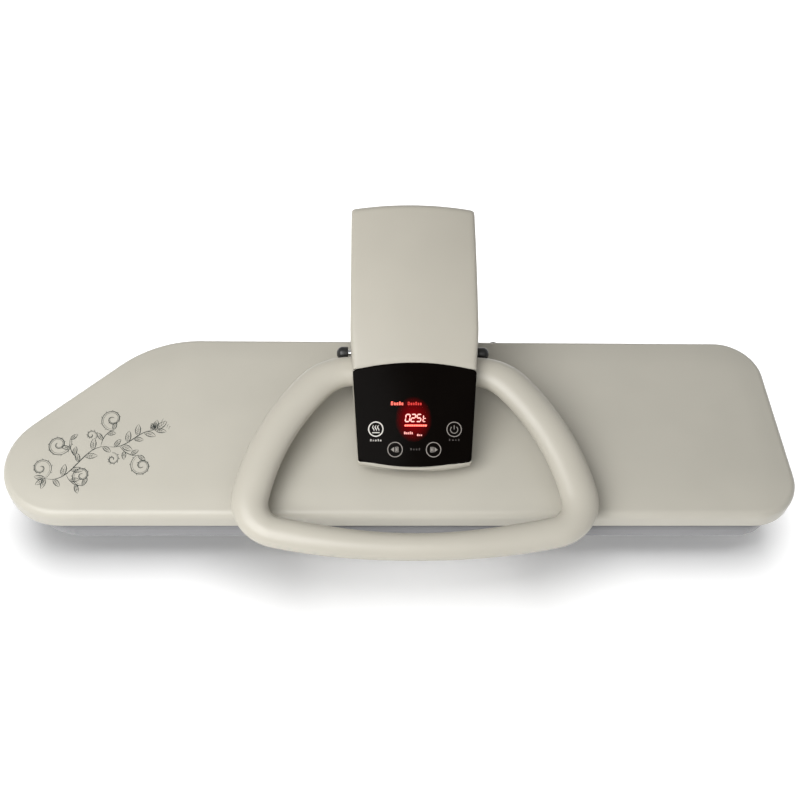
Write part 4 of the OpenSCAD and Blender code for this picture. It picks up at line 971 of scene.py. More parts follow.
@dataclass
class UpperShell:
    """The long moulded shell of the heated head."""

    sizes: PlateSizes
    wall: float = 3.0
    crown_steps: tuple[Point2, ...] = ((14, 1.65), (12, 0.99), (15, 0.36))
    crown_parts: int = 3
    slot: tuple[float, float, float, float] = (-18.0, 72.0, 35.0, 111.0)

    def build(self, bench: Bench) -> BVHTree:
        """Build the shell, and return its surface for what is printed on it."""
        s = self.sizes
        bm = bmesh.new()
        verts = [bm.verts.new(p) for p in s.plan().ring(s.shell_bottom, 0, 22)]
        under = bmesh.ops.contextual_create(bm, geom=verts)["faces"][0]
        made = bmesh.ops.extrude_face_region(bm, geom=[under])["geom"]
        lid = next(g for g in made if isinstance(g, bmesh.types.BMFace))
        bmesh.ops.translate(bm, verts=lid.verts, vec=(0, 0, (s.shell_top - s.shell_bottom) * MM))
        bmesh.ops.bevel(
            bm, geom=list(lid.edges), offset=s.edge_r * MM, segments=8, profile=0.5, affect="EDGES", material=-1
        )
        lid = max(bm.faces, key=lambda f: f.calc_area() if f.calc_center_median().z > 0.1 else 0)
        for width, rise in self.crown_steps:
            for _ in range(self.crown_parts):
                step = width * MM / self.crown_parts
                bmesh.ops.inset_region(bm, faces=[lid], thickness=step, depth=0, use_even_offset=True)
                bmesh.ops.translate(bm, verts=lid.verts, vec=(0, 0, rise * MM / self.crown_parts))
        bmesh.ops.recalc_face_normals(bm, faces=bm.faces)
        tree = BVHTree.FromBMesh(bm)
        bottom = min(bm.faces, key=lambda f: f.calc_center_median().z)
        bmesh.ops.delete(bm, geom=[bottom], context="FACES_ONLY")
        shell = bench.piece("upper_shell_skin", bm, "shell_cream", None, "shell_plastic", sharp=30, outward=False)
        bench.thicken(shell, "wall", self.wall)
        bench.applied(shell)
        x0, x1, y0, y1 = self.slot
        bench.carve(shell, [block(row(x0, y0, 100), row(x1, y1, 130))], "DIFFERENCE")
        bench.shade(shell, 30)
        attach(shell, Body.HEAD.value)
        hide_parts("upper_shell")
        return tree


@dataclass
class Stroke:
    """A printed line with a varying width."""

    points: list[Point2]
    widths: list[float]

    @staticmethod
    def curve(a: Point2, b: Point2, c: Point2, d: Point2, wide: float, count: int = 28) -> Stroke:
        """Return a cubic curve that swells in the middle."""
        points, widths = [], []
        for k in range(count + 1):
            t = k / count
            shares = ((1 - t) ** 3, 3 * (1 - t) ** 2 * t, 3 * (1 - t) * t * t, t**3)
            points.append(tuple(sum(s * p[i] for s, p in zip(shares, (a, b, c, d))) for i in range(2)))
            widths.append(mix(0.2, wide, math.sin(math.pi * t) ** 0.8))
        return Stroke(points, widths)

    @staticmethod
    def volute(
        centre: Point2, inner: float, outer: float, turns: float, start: float, way: int, wide: float
    ) -> Stroke:
        """Return a spiral that opens from its eye."""
        points, widths = [], []
        count = int(turns * 30)
        for k in range(count + 1):
            t = k / count
            angle = math.radians(start) + way * 2 * math.pi * turns * (t - 1)
            r = mix(inner, outer, t**1.25)
            points.append((centre[0] + r * math.cos(angle), centre[1] + r * math.sin(angle)))
            widths.append(mix(wide * 0.45, wide, math.sin(math.pi * min(1.0, t * 1.02)) ** 0.7))
        return Stroke(points, widths)


@dataclass
class Surface:
    """A surface that printing is laid on, with its own two directions."""

    tree: BVHTree
    origin: Vector
    across: Vector
    up: Vector
    reach: float = 0.08

    @property
    def normal(self) -> Vector:
        """Return the direction out of the surface."""
        return self.across.cross(self.up).normalized()

    def at(self, u: float, v: float, lift: float = 0.06) -> Vector:
        """Return the point above a place of the surface, with u, v and the lift in mm."""
        normal = self.normal
        start = self.origin + (self.across * u + self.up * v) * MM + normal * self.reach
        hit = self.tree.ray_cast(start, -normal)[0]
        return (hit if hit is not None else start - normal * self.reach) + normal * lift * MM


@dataclass
class Printer:
    """Lays thin marks on a surface."""

    surface: Surface
    lift: float = 0.06
    bm: bmesh.types.BMesh = field(default_factory=bmesh.new)

    def laid(self, corners: Iterable[Point2]) -> list[Vector]:
        """Return places of the print on the surface."""
        return [self.surface.at(u, v, self.lift) for u, v in corners]

    def ribbon(self, stroke: Stroke) -> None:
        """Lay a line with its own width at each point."""
        points = stroke.points
        rows: list[list[Vector]] = []
        for i, (x, y) in enumerate(points):
            p, q = points[max(i - 1, 0)], points[min(i + 1, len(points) - 1)]
            d = math.hypot(q[0] - p[0], q[1] - p[1]) or 1.0
            nx, ny = -(q[1] - p[1]) / d, (q[0] - p[0]) / d
            half = stroke.widths[i] / 2
            rows.append(self.laid((x + nx * half * s, y + ny * half * s) for s in (-1, 1)))
        verts = [self.bm.verts.new(p) for p in rows[0]]
        edges = [self.bm.edges.new(verts)]
        for pair in rows[1:]:
            edges, verts = grown(self.bm, edges, verts, pair)
            edges = edges[:1]

    def patch(self, corners: Sequence[Point2]) -> None:
        """Fill a flat shape."""
        bmesh.ops.contextual_create(self.bm, geom=outlined(self.bm, self.laid(corners))[0])

    def ring(self, corners: Sequence[Point2], wide: float) -> None:
        """Lay a closed band of one width inside a circle or a rectangle."""
        count = len(corners)
        cx, cy = sum(p[0] for p in corners) / count, sum(p[1] for p in corners) / count
        inner = []
        for x, y in corners:
            if count > 4:
                d = math.hypot(x - cx, y - cy)
                inner.append((x + (cx - x) * wide / d, y + (cy - y) * wide / d))
            else:
                dx, dy = cx - x, cy - y
                inner.append((x + math.copysign(min(wide, abs(dx)), dx), y + math.copysign(min(wide, abs(dy)), dy)))
        grown(self.bm, *outlined(self.bm, self.laid(corners)), self.laid(inner))

    def finish(self, bench: Bench, name: str, finish: str, body: Body, slot: str) -> None:
        """Make a piece of what was laid."""
        bmesh.ops.recalc_face_normals(self.bm, faces=self.bm.faces)
        for face in self.bm.faces:
            if face.normal.dot(self.surface.normal) < 0:
                face.normal_flip()
        bench.piece(name, self.bm, finish, body, slot, outward=False)


@dataclass
class ScrollPrint:
    """An own printed scroll of stems, volutes and leaves at the nose of the shell."""

    level: float
    tree: BVHTree
    centre: Point2 = (-388.0, -42.0)
    turn: float = 19.0
    squeeze: Point2 = (0.86, 0.98)
    stems: tuple[tuple, ...] = (
        ((-82, -20), (-48, -44), (-22, 18), (14, 2), 1.5),
        ((14, 2), (42, -12), (58, 16), (86, 8), 1.3),
        ((-30, -9), (-38, 6), (-42, 16), (-36, 30), 1.1),
        ((4, 5), (8, 18), (18, 26), (28, 26), 1.0),
        ((30, -1), (34, -14), (44, -24), (54, -24), 1.0),
        ((-52, -24), (-50, -36), (-42, -46), (-32, -46), 1.0),
    )
    volutes: tuple[tuple, ...] = (
        ((-54.5, 25.9), 3.0, 20.0, 1.75, 12, 1, 1.3), ((29.4, 43.5), 2.8, 19.0, 1.65, 265, 1, 1.2),
        ((54.2, -41.0), 2.6, 18.0, 1.6, 92, -1, 1.2), ((-30.9, -31.0), 2.4, 16.0, 1.6, 268, 1, 1.15),
        ((-85.0, -3.0), 2.4, 17.5, 1.5, 280, -1, 1.15), ((-6, 27), 1.4, 9.5, 1.3, 300, -1, 0.9),
        ((16, -19), 1.4, 10.5, 1.4, 80, 1, 0.9),
    )
    long_shares: tuple[float, ...] = (0.1, 0.24, 0.38, 0.52, 0.66, 0.8, 0.93)
    short_shares: tuple[float, ...] = (0.3, 0.62, 0.96)

    @staticmethod
    def leaf(at: Point2, heading: float, length: float, width: float) -> list[Stroke]:
        """Return a pointed leaf of two edges, a rib and short veins.

        Args:
            at: where it grows.
            heading: its direction in degrees.
            length: its length in mm.
            width: its width to the left side in mm.

        Returns:
            Its lines.
        """
        c, s = math.cos(math.radians(heading)), math.sin(math.radians(heading))

        def to(u: float, v: float) -> Point2:
            """Return a point at shares of the leaf's length and width."""
            u, v = u * length, v * width
            return (at[0] + c * u - s * v, at[1] + s * u + c * v)

        tip = to(1, 0.18)
        veins = [
            Stroke.curve(to(q, 0.1), to(q + 0.08, w * 0.3), to(q + 0.15, w * 0.5), to(q + 0.2, w * 0.62), 0.42, 5)
            for q in (0.16, 0.32, 0.48) for w in (1, -0.8)
        ]
        return veins + [
            Stroke.curve(at, to(0.25, 1), to(0.7, 0.9), tip, 0.85, 12),
            Stroke.curve(at, to(0.3, -0.75), to(0.75, -0.45), tip, 1.1, 12),
            Stroke.curve(at, to(0.3, 0.16), to(0.6, 0.1), to(0.82, 0.14), 0.5, 6),
        ]

    @staticmethod
    def scroll(
        centre: Point2, inner: float, outer: float, turns: float, start: float, way: int, wide: float
    ) -> list[Stroke]:
        """Return a volute of a bold line, a finer one inside it and a fringe of short lines."""
        bold = Stroke.volute(centre, inner, outer, turns, start, way, wide)
        lines = [bold, Stroke.volute(centre, inner * 0.8, outer * 0.86, turns * 0.94, start, way, wide * 0.45)]
        count = len(bold.points)
        for k in range(count // 3, count - 2, max(3, count // 16)):
            at, before = Vector(bold.points[k]), Vector(bold.points[k - 2])
            out, back = (at - Vector(centre)).normalized(), (before - at).normalized()
            tip = at + (out * 0.8 + back * 0.9) * 3.0
            mid = at + (out * 0.75 + back * 0.25) * 1.8
            lines.append(Stroke.curve(tuple(at), tuple(mid), tuple(mid * 0.4 + tip * 0.6), tuple(tip), 0.6, 4))
        return lines

    def strokes(self) -> list[Stroke]:
        """Return every line of the print in its own frame."""
        stems = [Stroke.curve(*stem) for stem in self.stems]
        lines = list(stems)
        for volute in self.volutes:
            lines += self.scroll(*volute)
        for k, stem in enumerate(stems):
            long = k < 2
            for i, share in enumerate(self.long_shares if long else self.short_shares):
                at = round(share * (len(stem.points) - 1))
                (px, py), (x, y) = stem.points[at - 1], stem.points[at]
                side = 50 if (i + k) % 2 else -50
                span = (18.5 if i % 3 else 15.0) if long else 13.5
                lines += self.leaf((x, y), math.degrees(math.atan2(y - py, x - px)) + side, span, span * 0.36)
        for heading, length in ((20, 22), (62, 17), (-28, 17), (100, 13)):
            lines += self.leaf(self.stems[1][3], heading, length, length * 0.33)
        for heading in (150, 196, 236):
            lines += self.leaf(self.stems[0][0], heading, 16, 5.4)
        for k in range(5):
            whisker = ((96 + 2.4 * k, 16 - 3.2 * k), (99 + 2 * k, 19 - 3 * k), (100 + 2 * k, 21 - 3 * k))
            lines.append(Stroke.curve(*whisker, (103 + 1.6 * k, 23 - 4 * k), 0.5))
        return lines

    def build(self, bench: Bench) -> None:
        """Lay the print on the shell."""
        a = math.radians(self.turn)
        across, up = Vector((math.cos(a), math.sin(a), 0)), Vector((-math.sin(a), math.cos(a), 0))
        ink = Printer(Surface(self.tree, row(*self.centre, self.level), across, up))
        sx, sy = self.squeeze
        for stroke in self.strokes():
            ink.ribbon(Stroke([(x * sx, y * sy) for x, y in stroke.points], stroke.widths))
        ink.finish(bench, "scroll_print", "ink_scroll", Body.HEAD, "black_plastic")


@dataclass
class BoardPadding:
    """The padded board: a felt pad and its stretched grey cover.

    The sides of both are given as heights with insets in mm, the cover's over its underside.
    """

    sizes: PlateSizes
    hem_w: float = 34.0
    cloth: float = 0.7
    cord_r: float = 1.3
    flat: Point2 = (1.078, 0.384)
    area: float = 0.367
    cover_side: tuple[Point2, ...] = (
        (0, 22), (0, 12), (0, 5.4), (0.5, 3.6), (1.6, 2.1), (3.2, 1.1), (5.5, 0.4), (9, 0.1), (14, 0.0),
        (19, 0.05), (22.4, 0.4), (24.8, 1.3), (26.3, 2.6), (27.3, 4.6), (27.85, 7.4), (28, 11),
        (28, 19), (28, 26), (28, 33), (28, 40), (28, 47),
    )
    pad_side: tuple[Point2, ...] = (
        (60.2, 10.5), (61.5, 9), (66, 7.2), (70, 3.4), (74, 2.8), (77.5, 3.4), (80, 5.6), (81.5, 9.5),
        (82.0, 16), (82.1, 30),
    )

    def build(self, bench: Bench) -> None:
        """Build the cover, its drawcord hem and the pad inside."""
        plan = self.sizes.plan(board=True)
        self.cover(bench, plan)
        pad = lofted([plan.ring(z, inset, 20) for z, inset in self.pad_side])
        flat_to_triangles(pad)
        bench.piece("board_felt", pad, "felt", Body.BASE, "pad_foam", ["board_pad"], sharp=60)

    def cover(self, bench: Bench, plan: Plan) -> None:
        """Make the cloth cover, puckered a little where it turns under, and the cord in its hem."""
        low = self.sizes.board_bottom
        sides = ((0.1, self.hem_w),) + self.cover_side
        bm = lofted([plan.ring(low + z, inset, 26) for z, inset in sides], caps=False)
        rim = [e for e in bm.edges if len(e.link_faces) == 1 and e.verts[0].co.z > 0.08]
        bmesh.ops.contextual_create(bm, geom=rim)
        long = [
            e for e in bm.edges
            if e.calc_length() > 0.012 and len(e.link_faces) == 2 and all(len(f.verts) == 4 for f in e.link_faces)
        ]
        bmesh.ops.subdivide_edges(bm, edges=long, cuts=1, use_grid_fill=True)
        self.pucker(bm)
        flat_to_triangles(bm)
        cotton = ("metallised_cotton", Body.BASE, "cover_cloth")
        obj = bench.piece("board_cloth", bm, *cotton, ["board_cover"], sharp=50)
        bench.thicken(obj, "cloth", self.cloth)
        path = [p + Vector((0, 0, 1.6 * MM)) for p in plan.ring(low, self.hem_w + 1.2, 26)]
        bench.piece("board_drawcord", swept(path, self.cord_r * MM, 8, True), *cotton)

    def pucker(self, bm: bmesh.types.BMesh) -> None:
        """Move the cover's points in and out a little, as a stretched cloth lies."""
        for v in bm.verts:
            z = v.co.z / MM - self.sizes.board_bottom
            if z > 27.5:
                continue
            x, y = v.co.x, v.co.y
            around = math.atan2(y + 0.02, x)
            ripple = math.sin(x * 47 + 1.3) * 0.5 + math.sin(x * 113 + y * 60) * 0.3 + math.sin(around * 97) * 0.2
            gather = max(0.0, 1 - z / 9) * 0.5 * (math.sin(x * 260 + y * 210) + 1)
            out = Vector((x * 0.25, y + 0.02, 0)).normalized()
            v.co -= out * MM * (0.25 * (ripple + 1) + gather)


@dataclass
class ArmCasing:
    """The tongue-shaped casing over the lifting arm."""

    form: ArmForm
    wall: float = 3.0
    cheek_r: float = 38.0
    cheek_front: float = 163.0
    overlap: float = 7.0
    side_x: float = 82.0
    side_reach: float = 14.0
    shaft_hole_r: float = 4.9
    grip_hole: tuple[float, float, float, float] = (44.0, 173.2, 20.6, 15.6)
    bay: tuple[float, float, float] = (60.6, 189.4, 244.6)
    rear_low: float = 123.0
    recess_gap: float = 0.3
    recess_deep: float = 3.2

    def stations(self) -> list[float]:
        """Return the places along the arm where a section is set."""
        f = self.form
        out = [-f.lip_y + 0.5 * k * k for k in range(4)]
        out += [-f.lip_y + 4.5 + 5 * k for k in range(1, 22)]
        y = out[-1]
        while y < f.rear - f.edge_r - 6:
            y += 7
            out.append(y)
        out += [f.rear - f.edge_r * (1 - math.sin(math.pi / 2 * k / 8)) for k in range(9)]
        return sorted(set(round(v, 3) for v in out))

    def solid(self, inset: float, low: float, trim: float, rounded: bool) -> bmesh.types.BMesh:
        """Return the casing as a solid, set in all round.

        Args:
            inset: how far the sides are set in and the top is lowered.
            low: the height of the underside.
            trim: how much is left off at both ends.
            rounded: whether the front edge is rounded.

        Returns:
            The bmesh.
        """
        f = self.form
        rings = []
        for y in self.stations():
            if not -f.lip_y + trim <= y <= f.rear - trim:
                continue
            near = quarter(max(0.0, 1 - (y + f.lip_y) / 4.0)) if rounded else 0.0
            top = f.across(y, inset + 2.2 * near, inset + 2.4 * near)
            rings.append(top + [Vector((p.x, p.y, (low + 2.0 * near) * MM)) for p in reversed(top)])
        return lofted(rings)

    def build(self, bench: Bench) -> None:
        """Build the casing with its recess, holes and cheeks."""
        f = self.form
        body = bench.piece("arm_casing", self.solid(0, f.under, 0, True), "casing_cream", None, "shell_plastic")
        cutters = [self.solid(self.wall, f.under - 6, self.wall + 0.6, False), self.recess(), self.chamfer()]
        for side in (-1, 1):
            middle = ARM_X + side * self.side_x
            cutters.append(self.slot_hole(middle))
            cutters.append(bar(middle - self.side_reach, middle + self.side_reach, *SHAFT, self.shaft_hole_r))
        half, low, high = self.bay
        cutters.append(block(row(ARM_X - half, f.rear - 8, low), row(ARM_X + half, f.rear + 6, high)))
        bench.carve(body, cutters, "DIFFERENCE")
        bench.carve(body, [self.cheek(-1), self.cheek(1), self.skirt()], "UNION")
        bench.shade(body, 34)
        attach(body, Body.ARM.value)
        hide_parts("casing_top")

    def cutter(self, places: Iterable[Point2]) -> bmesh.types.BMesh:
        """Return a cutter across the casing from above, through places along the arm with depths in mm."""
        f = self.form
        first, last = f.panel_span[0] - self.recess_gap, f.panel_span[1] + self.recess_gap
        return lofted([f.slice(y, -1.0, -2.5, deep, f.panel_bow(min(last, max(first, y)))) for y, deep in places])

    def recess(self) -> bmesh.types.BMesh:
        """Return the cutter of the panel's recess."""
        first, last = self.form.panel_span[0] - self.recess_gap, self.form.panel_span[1] + self.recess_gap
        return self.cutter((mix(first, last, k / 22), self.recess_deep) for k in range(23))

    def chamfer(self) -> bmesh.types.BMesh:
        """Return the cutter that breaks the recess's rim, front and rear."""
        first, last = self.form.panel_span[0] - self.recess_gap, self.form.panel_span[1] + self.recess_gap
        return self.cutter((
            (first - 1.1, -0.3), (first - 0.6, 0.0), (first + 0.2, 1.3),
            (last - 0.2, 1.3), (last + 1.2, 0.0), (last + 1.8, -0.3),
        ))

    def slot_hole(self, middle: float) -> bmesh.types.BMesh:
        """Return the cutter of the hole where the loop handle enters, at a place across the arm."""
        y, z, half_w, half_t = self.grip_hole
        ring = []
        for k in range(40):
            a = 2 * math.pi * (k + 0.5) / 40
            c = math.cos(a)
            ring.append((y + math.copysign(half_w - half_t, c) + half_t * c, z + half_t * math.sin(a)))
        return lofted([[row(middle + d, *p) for p in ring] for d in (-self.side_reach, self.side_reach)])

    def cheek(self, side: int) -> bmesh.types.BMesh:
        """Return the solid of one side cheek, which hides the hinge.

        Args:
            side: -1 for the left cheek and 1 for the right one.

        Returns:
            The bmesh.
        """
        f = self.form
        hy, hz = HINGE
        join, rear = f.under + self.overlap, f.rear - self.wall
        outline = [(self.cheek_front, join), (self.cheek_front + 0.4, f.under - 3)]
        for k in range(49):
            a = math.radians(mix(180, 402, k / 48))
            outline.append((hy + self.cheek_r * math.cos(a), hz + self.cheek_r * math.sin(a)))
        outline += [(rear, self.rear_low), (rear, join)]
        my, mz = hy, hz + 10
        inner = f.rear_w - self.wall + 0.02
        rings = []
        for x, inset in ((inner, 0.0), (f.rear_w - 0.7, 0.0), (f.rear_w - 0.2, 0.25), (f.rear_w - 0.01, 0.7)):
            ring = []
            for y, z in outline:
                s = 1 - inset / math.hypot(y - my, z - mz) if z < f.under else 1
                ring.append(row(ARM_X + side * x, my + (y - my) * s, mz + (z - mz) * s))
            rings.append(ring)
        return lofted(rings)

    def skirt(self) -> bmesh.types.BMesh:
        """Return the solid of the wall below the rear edge."""
        f = self.form
        low, join, inner = self.rear_low, f.under + self.overlap, f.rear - self.wall
        outline = (
            (inner, low), (f.rear - 0.7, low), (f.rear - 0.2, low + 0.2), (f.rear - 0.01, low + 0.7),
            (f.rear - 0.01, join), (inner, join),
        )
        half = f.rear_w - 0.01
        return lofted([[row(ARM_X + x, y, z) for y, z in outline] for x in (-half, half)])


# Rows of small bars where words were: name, finish, slot and the rows, each with its lower left
# corner, width and height and the widths of its bars, in mm on the panel
Words = tuple[tuple[str, str, str, tuple[tuple, ...]], ...]
LABELS: Words = (
    ("display_labels", "lit_pale", "display_red", (
        (-13.6, 43.4, 10.6, 3.0, (1.5, 1.2, 1.9, 1.4, 1.3)), (2.6, 41.2, 6.0, 2.4, (1.6, 1.1, 1.5)),
    )),
    ("display_word_lit", "lit_red", "display_red", ((-30.0, 79.8, 15.0, 4.2, (2.4, 1.7, 1.8, 1.5, 1.9)),)),
    ("display_word_dim", "lit_dim", "display_red", ((-9.0, 79.8, 17.0, 4.0, (2.2, 1.5, 1.9, 1.7, 1.4, 1.8)),)),
)
# The left caption's white ink carries a faint painted glow
CAPTIONS: Words = (
    ("key_caption_left", "ink_white_painted_glow", "panel_glass", ((-56.0, 34.6, 14.0, 2.4, (1.6, 1.2, 1.9, 1.3, 1.6)),)),
    ("key_caption_dim", "ink_faint", "panel_glass", (
        (42.5, 35.4, 13.0, 2.2, (1.5, 1.9, 1.2, 1.6)), (-6.0, 23.4, 12.0, 2.6, (1.8, 1.3, 1.6, 1.4)),
    )),
)


@dataclass
class ControlPanel:
    """The glossy panel with its printed keys and lit display."""

    form: ArmForm
    thick: float = 3.0
    corner_r: float = 3.6
    key_r: float = 9.6
    # The white and grey key inks carry a faint painted glow
    keys: tuple[tuple[float, float, str], ...] = (
        (-49, 49.7, "ink_white_painted_glow"), (49, 49.7, "ink_grey_painted_glow"), (-25, 24.2, "ink_grey_painted_glow"), (23, 24.2, "ink_grey_painted_glow"),
    )
    digit_slant: float = 0.15
    digit_gap: float = 0.22

    def build(self, bench: Bench) -> None:
        """Build the glass and lay the marks on it."""
        f = self.form
        glass = self.glass()
        a = math.radians(f.slope)
        up = Vector((0, math.cos(a), math.sin(a)))
        surface = Surface(BVHTree.FromBMesh(glass), row(ARM_X, -f.lip_y, f.lip_z), Vector((1, 0, 0)), up)
        bench.piece("panel_acrylic", glass, "smoked_acrylic", Body.ARM, "panel_glass", ["panel_glass"], sharp=28)
        self.glow(bench, surface)
        self.display(bench, surface)
        self.words(bench, surface, LABELS)
        self.print_keys(bench, surface)
        self.words(bench, surface, CAPTIONS)

    def glass(self) -> bmesh.types.BMesh:
        """Return the bowed glass with rounded corners and softened edges."""
        f, r = self.form, self.corner_r
        first, last = f.panel_span
        rounding = [r * (1 - math.cos(math.pi / 2 * k / 7)) for k in range(8)]
        places = [first + d for d in rounding]
        places += [mix(first + r, last - r, k / 22) for k in range(1, 22)]
        places += [last - d for d in reversed(rounding)]
        rings = []
        for y in places:
            near = max(0.0, 1 - min(y - first, last - y) / r)
            rings.append(f.slice(y, 0.4 + r * quarter(near), -0.1 + 0.7 * near**6, self.thick, f.panel_bow(y), 0.3))
        return lofted(rings)

    @staticmethod
    def glow(bench: Bench, surface: Surface) -> None:
        """Lay the soft red glow round the display."""
        shop = NodeShop("display_glow")
        squash = Vector((1, 0.8, 0.8))
        away = shop.add("ShaderNodeVectorMath", operation="DISTANCE")
        shop.link(shop.place(squash), away.inputs[0])
        away.inputs[1].default_value = surface.at(-2, 62) * squash
        ripple = shop.maths("MULTIPLY", shop.noise(shop.place(), 260.0, 2.0), 0.002)
        spread = shop.maths("ADD", away.outputs["Value"], ripple)
        shop.link(shop.ramp(spread, 0.008, 0.024, 0.8, 0.0), shop.shader.inputs["Alpha"])
        shop.fix(Base_Color=(0.02, 0.0, 0.0, 1), Roughness=0.6, Specular_IOR_Level=0.0)
        shop.fix(Emission_Color=(0.36, 0.004, 0.008, 1), Emission_Strength=0.6)
        bench.finishes["display_glow"] = shop.material
        ink = Printer(surface, lift=0.04)
        for i in range(12):
            for j in range(12):
                u, v = -32 + 5 * i, 34 + 5 * j
                ink.patch(rectangle(u, v, u + 5, v + 5))
        ink.finish(bench, "display_halo", "display_glow", Body.ARM, "display_red")

    def display(self, bench: Bench, surface: Surface) -> None:
        """Light the digits and the bar below them."""
        lit = Printer(surface)
        for k, shape in enumerate(("abcdef", "abged", "afgcd")):
            self.digit(lit, (-12.4 + 7.0 * k, 59.2), (5.1, 9.0), 1.4, shape)
        self.digit(lit, (9.6, 59.2), (3.4, 8.0), 1.1, "fged")
        lit.finish(bench, "display_digits", "lit_pale", Body.ARM, "display_red")
        bars = Printer(surface)
        for k in range(10):
            u = -13.2 + 2.82 * k
            bars.patch([(u, 53.2), (u + 2.3, 53.2), (u + 2.6, 55.3), (u + 0.3, 55.3)])
        bars.finish(bench, "display_bar", "lit_red", Body.ARM, "display_red")

    def digit(self, ink: Printer, at: Point2, size: Point2, thick: float, shape: str) -> None:
        """Lay one slanted seven-segment figure.

        Args:
            ink: the printer.
            at: its lower left corner on the panel, in mm.
            size: its width and height.
            thick: the segments' thickness.
            shape: the letters of the lit segments.
        """
        wide, high = size
        h, t, gap = high / 2, thick / 2, self.digit_gap
        ends = {
            "a": (0, high, wide, high), "b": (wide, high, wide, h), "c": (wide, h, wide, 0), "d": (0, 0, wide, 0),
            "e": (0, 0, 0, h), "f": (0, h, 0, high), "g": (0, h, wide, h),
        }
        for letter in shape:
            x0, y0, x1, y1 = ends[letter]
            d = math.hypot(x1 - x0, y1 - y0)
            ux, uy = (x1 - x0) / d, (y1 - y0) / d
            corners = []
            for s, w in ((gap, 0), (gap + t, t), (d - gap - t, t), (d - gap, 0), (d - gap - t, -t), (gap + t, -t)):
                px, py = x0 + ux * s - uy * w, y0 + uy * s + ux * w
                corners.append((at[0] + px + self.digit_slant * py, at[1] + py))
            ink.patch(corners)

    @staticmethod
    def words(bench: Bench, surface: Surface, words: Words) -> None:
        """Lay plain rows of small upright bars where words were."""
        for name, finish, slot, rows in words:
            ink = Printer(surface)
            for x, y, wide, high, widths in rows:
                total = sum(widths)
                gap = (wide - total) / (len(widths) - 1) if wide > total else 0.4
                for k, w in enumerate(widths):
                    tall = high * (1.0 if k % 3 == 0 else 0.72)
                    ink.ring(rectangle(x, y, x + w, y + tall), min(0.55, w * 0.36))
                    x += w + gap
            ink.finish(bench, name, finish, Body.ARM, slot)

    def print_keys(self, bench: Bench, surface: Surface) -> None:
        """Print the rings and the signs of the keys."""
        signs = (self.steam, self.power, self.arrow_left, self.arrow_right)
        for k, (u, v, finish) in enumerate(self.keys):
            ink = Printer(surface)
            turns = (2 * math.pi * i / 56 for i in range(56))
            circle = [(u + self.key_r * math.cos(a), v + self.key_r * math.sin(a)) for a in turns]
            ink.ring(circle, 1.05 if k else 1.35)
            signs[k](ink, u, v)
            ink.finish(bench, f"key_print_{k + 1}", finish, Body.ARM, "panel_glass")

    @staticmethod
    def steam(ink: Printer, u: float, v: float) -> None:
        """Print three rising wisps over a line."""
        shares = [i / 16 for i in range(17)]
        widths = [0.35 + 0.85 * math.sin(math.pi * t) for t in shares]
        for k in (-1, 0, 1):
            points = [(u + 3.1 * k + 0.95 * math.sin(2 * math.pi * t + 0.6), v - 2.4 + 7.4 * t) for t in shares]
            ink.ribbon(Stroke(points, widths))
        ink.patch([(u - 5.0, v - 5.0), (u + 5.0, v - 5.0), (u + 4.4, v - 3.9), (u - 4.4, v - 3.9)])

    @staticmethod
    def power(ink: Printer, u: float, v: float) -> None:
        """Print an open ring with an upright bar."""
        turns = [math.radians(d) for d in range(42, 319, 12)]
        arc = [(u + 4.6 * math.sin(a), v - 0.3 + 4.6 * math.cos(a)) for a in turns]
        ink.ribbon(Stroke(arc, [0.85] * len(arc)))
        ink.patch(rectangle(u - 0.45, v, u + 0.45, v + 5.0))

    @staticmethod
    def arrow(ink: Printer, u: float, v: float, way: int) -> None:
        """Print an arrow to the left or the right beside a small block."""
        ink.patch([(u + way * 5.2, v), (u + way * 1.2, v + way * 3.2), (u + way * 1.2, v - way * 3.2)])
        left = u - 4.2 if way > 0 else u
        ink.ring(rectangle(left, v - 3.3, left + 4.2, v + 3.3), 0.7)
        ink.patch(rectangle(left + 1.2, v - 1.9, left + 3.0, v + 1.9))

    def arrow_left(self, ink: Printer, u: float, v: float) -> None:
        """Print the key that lowers."""
        self.arrow(ink, u, v, -1)

    def arrow_right(self, ink: Printer, u: float, v: float) -> None:
        """Print the key that raises."""
        self.arrow(ink, u, v, 1)


Place = tuple[Point2, float, float]


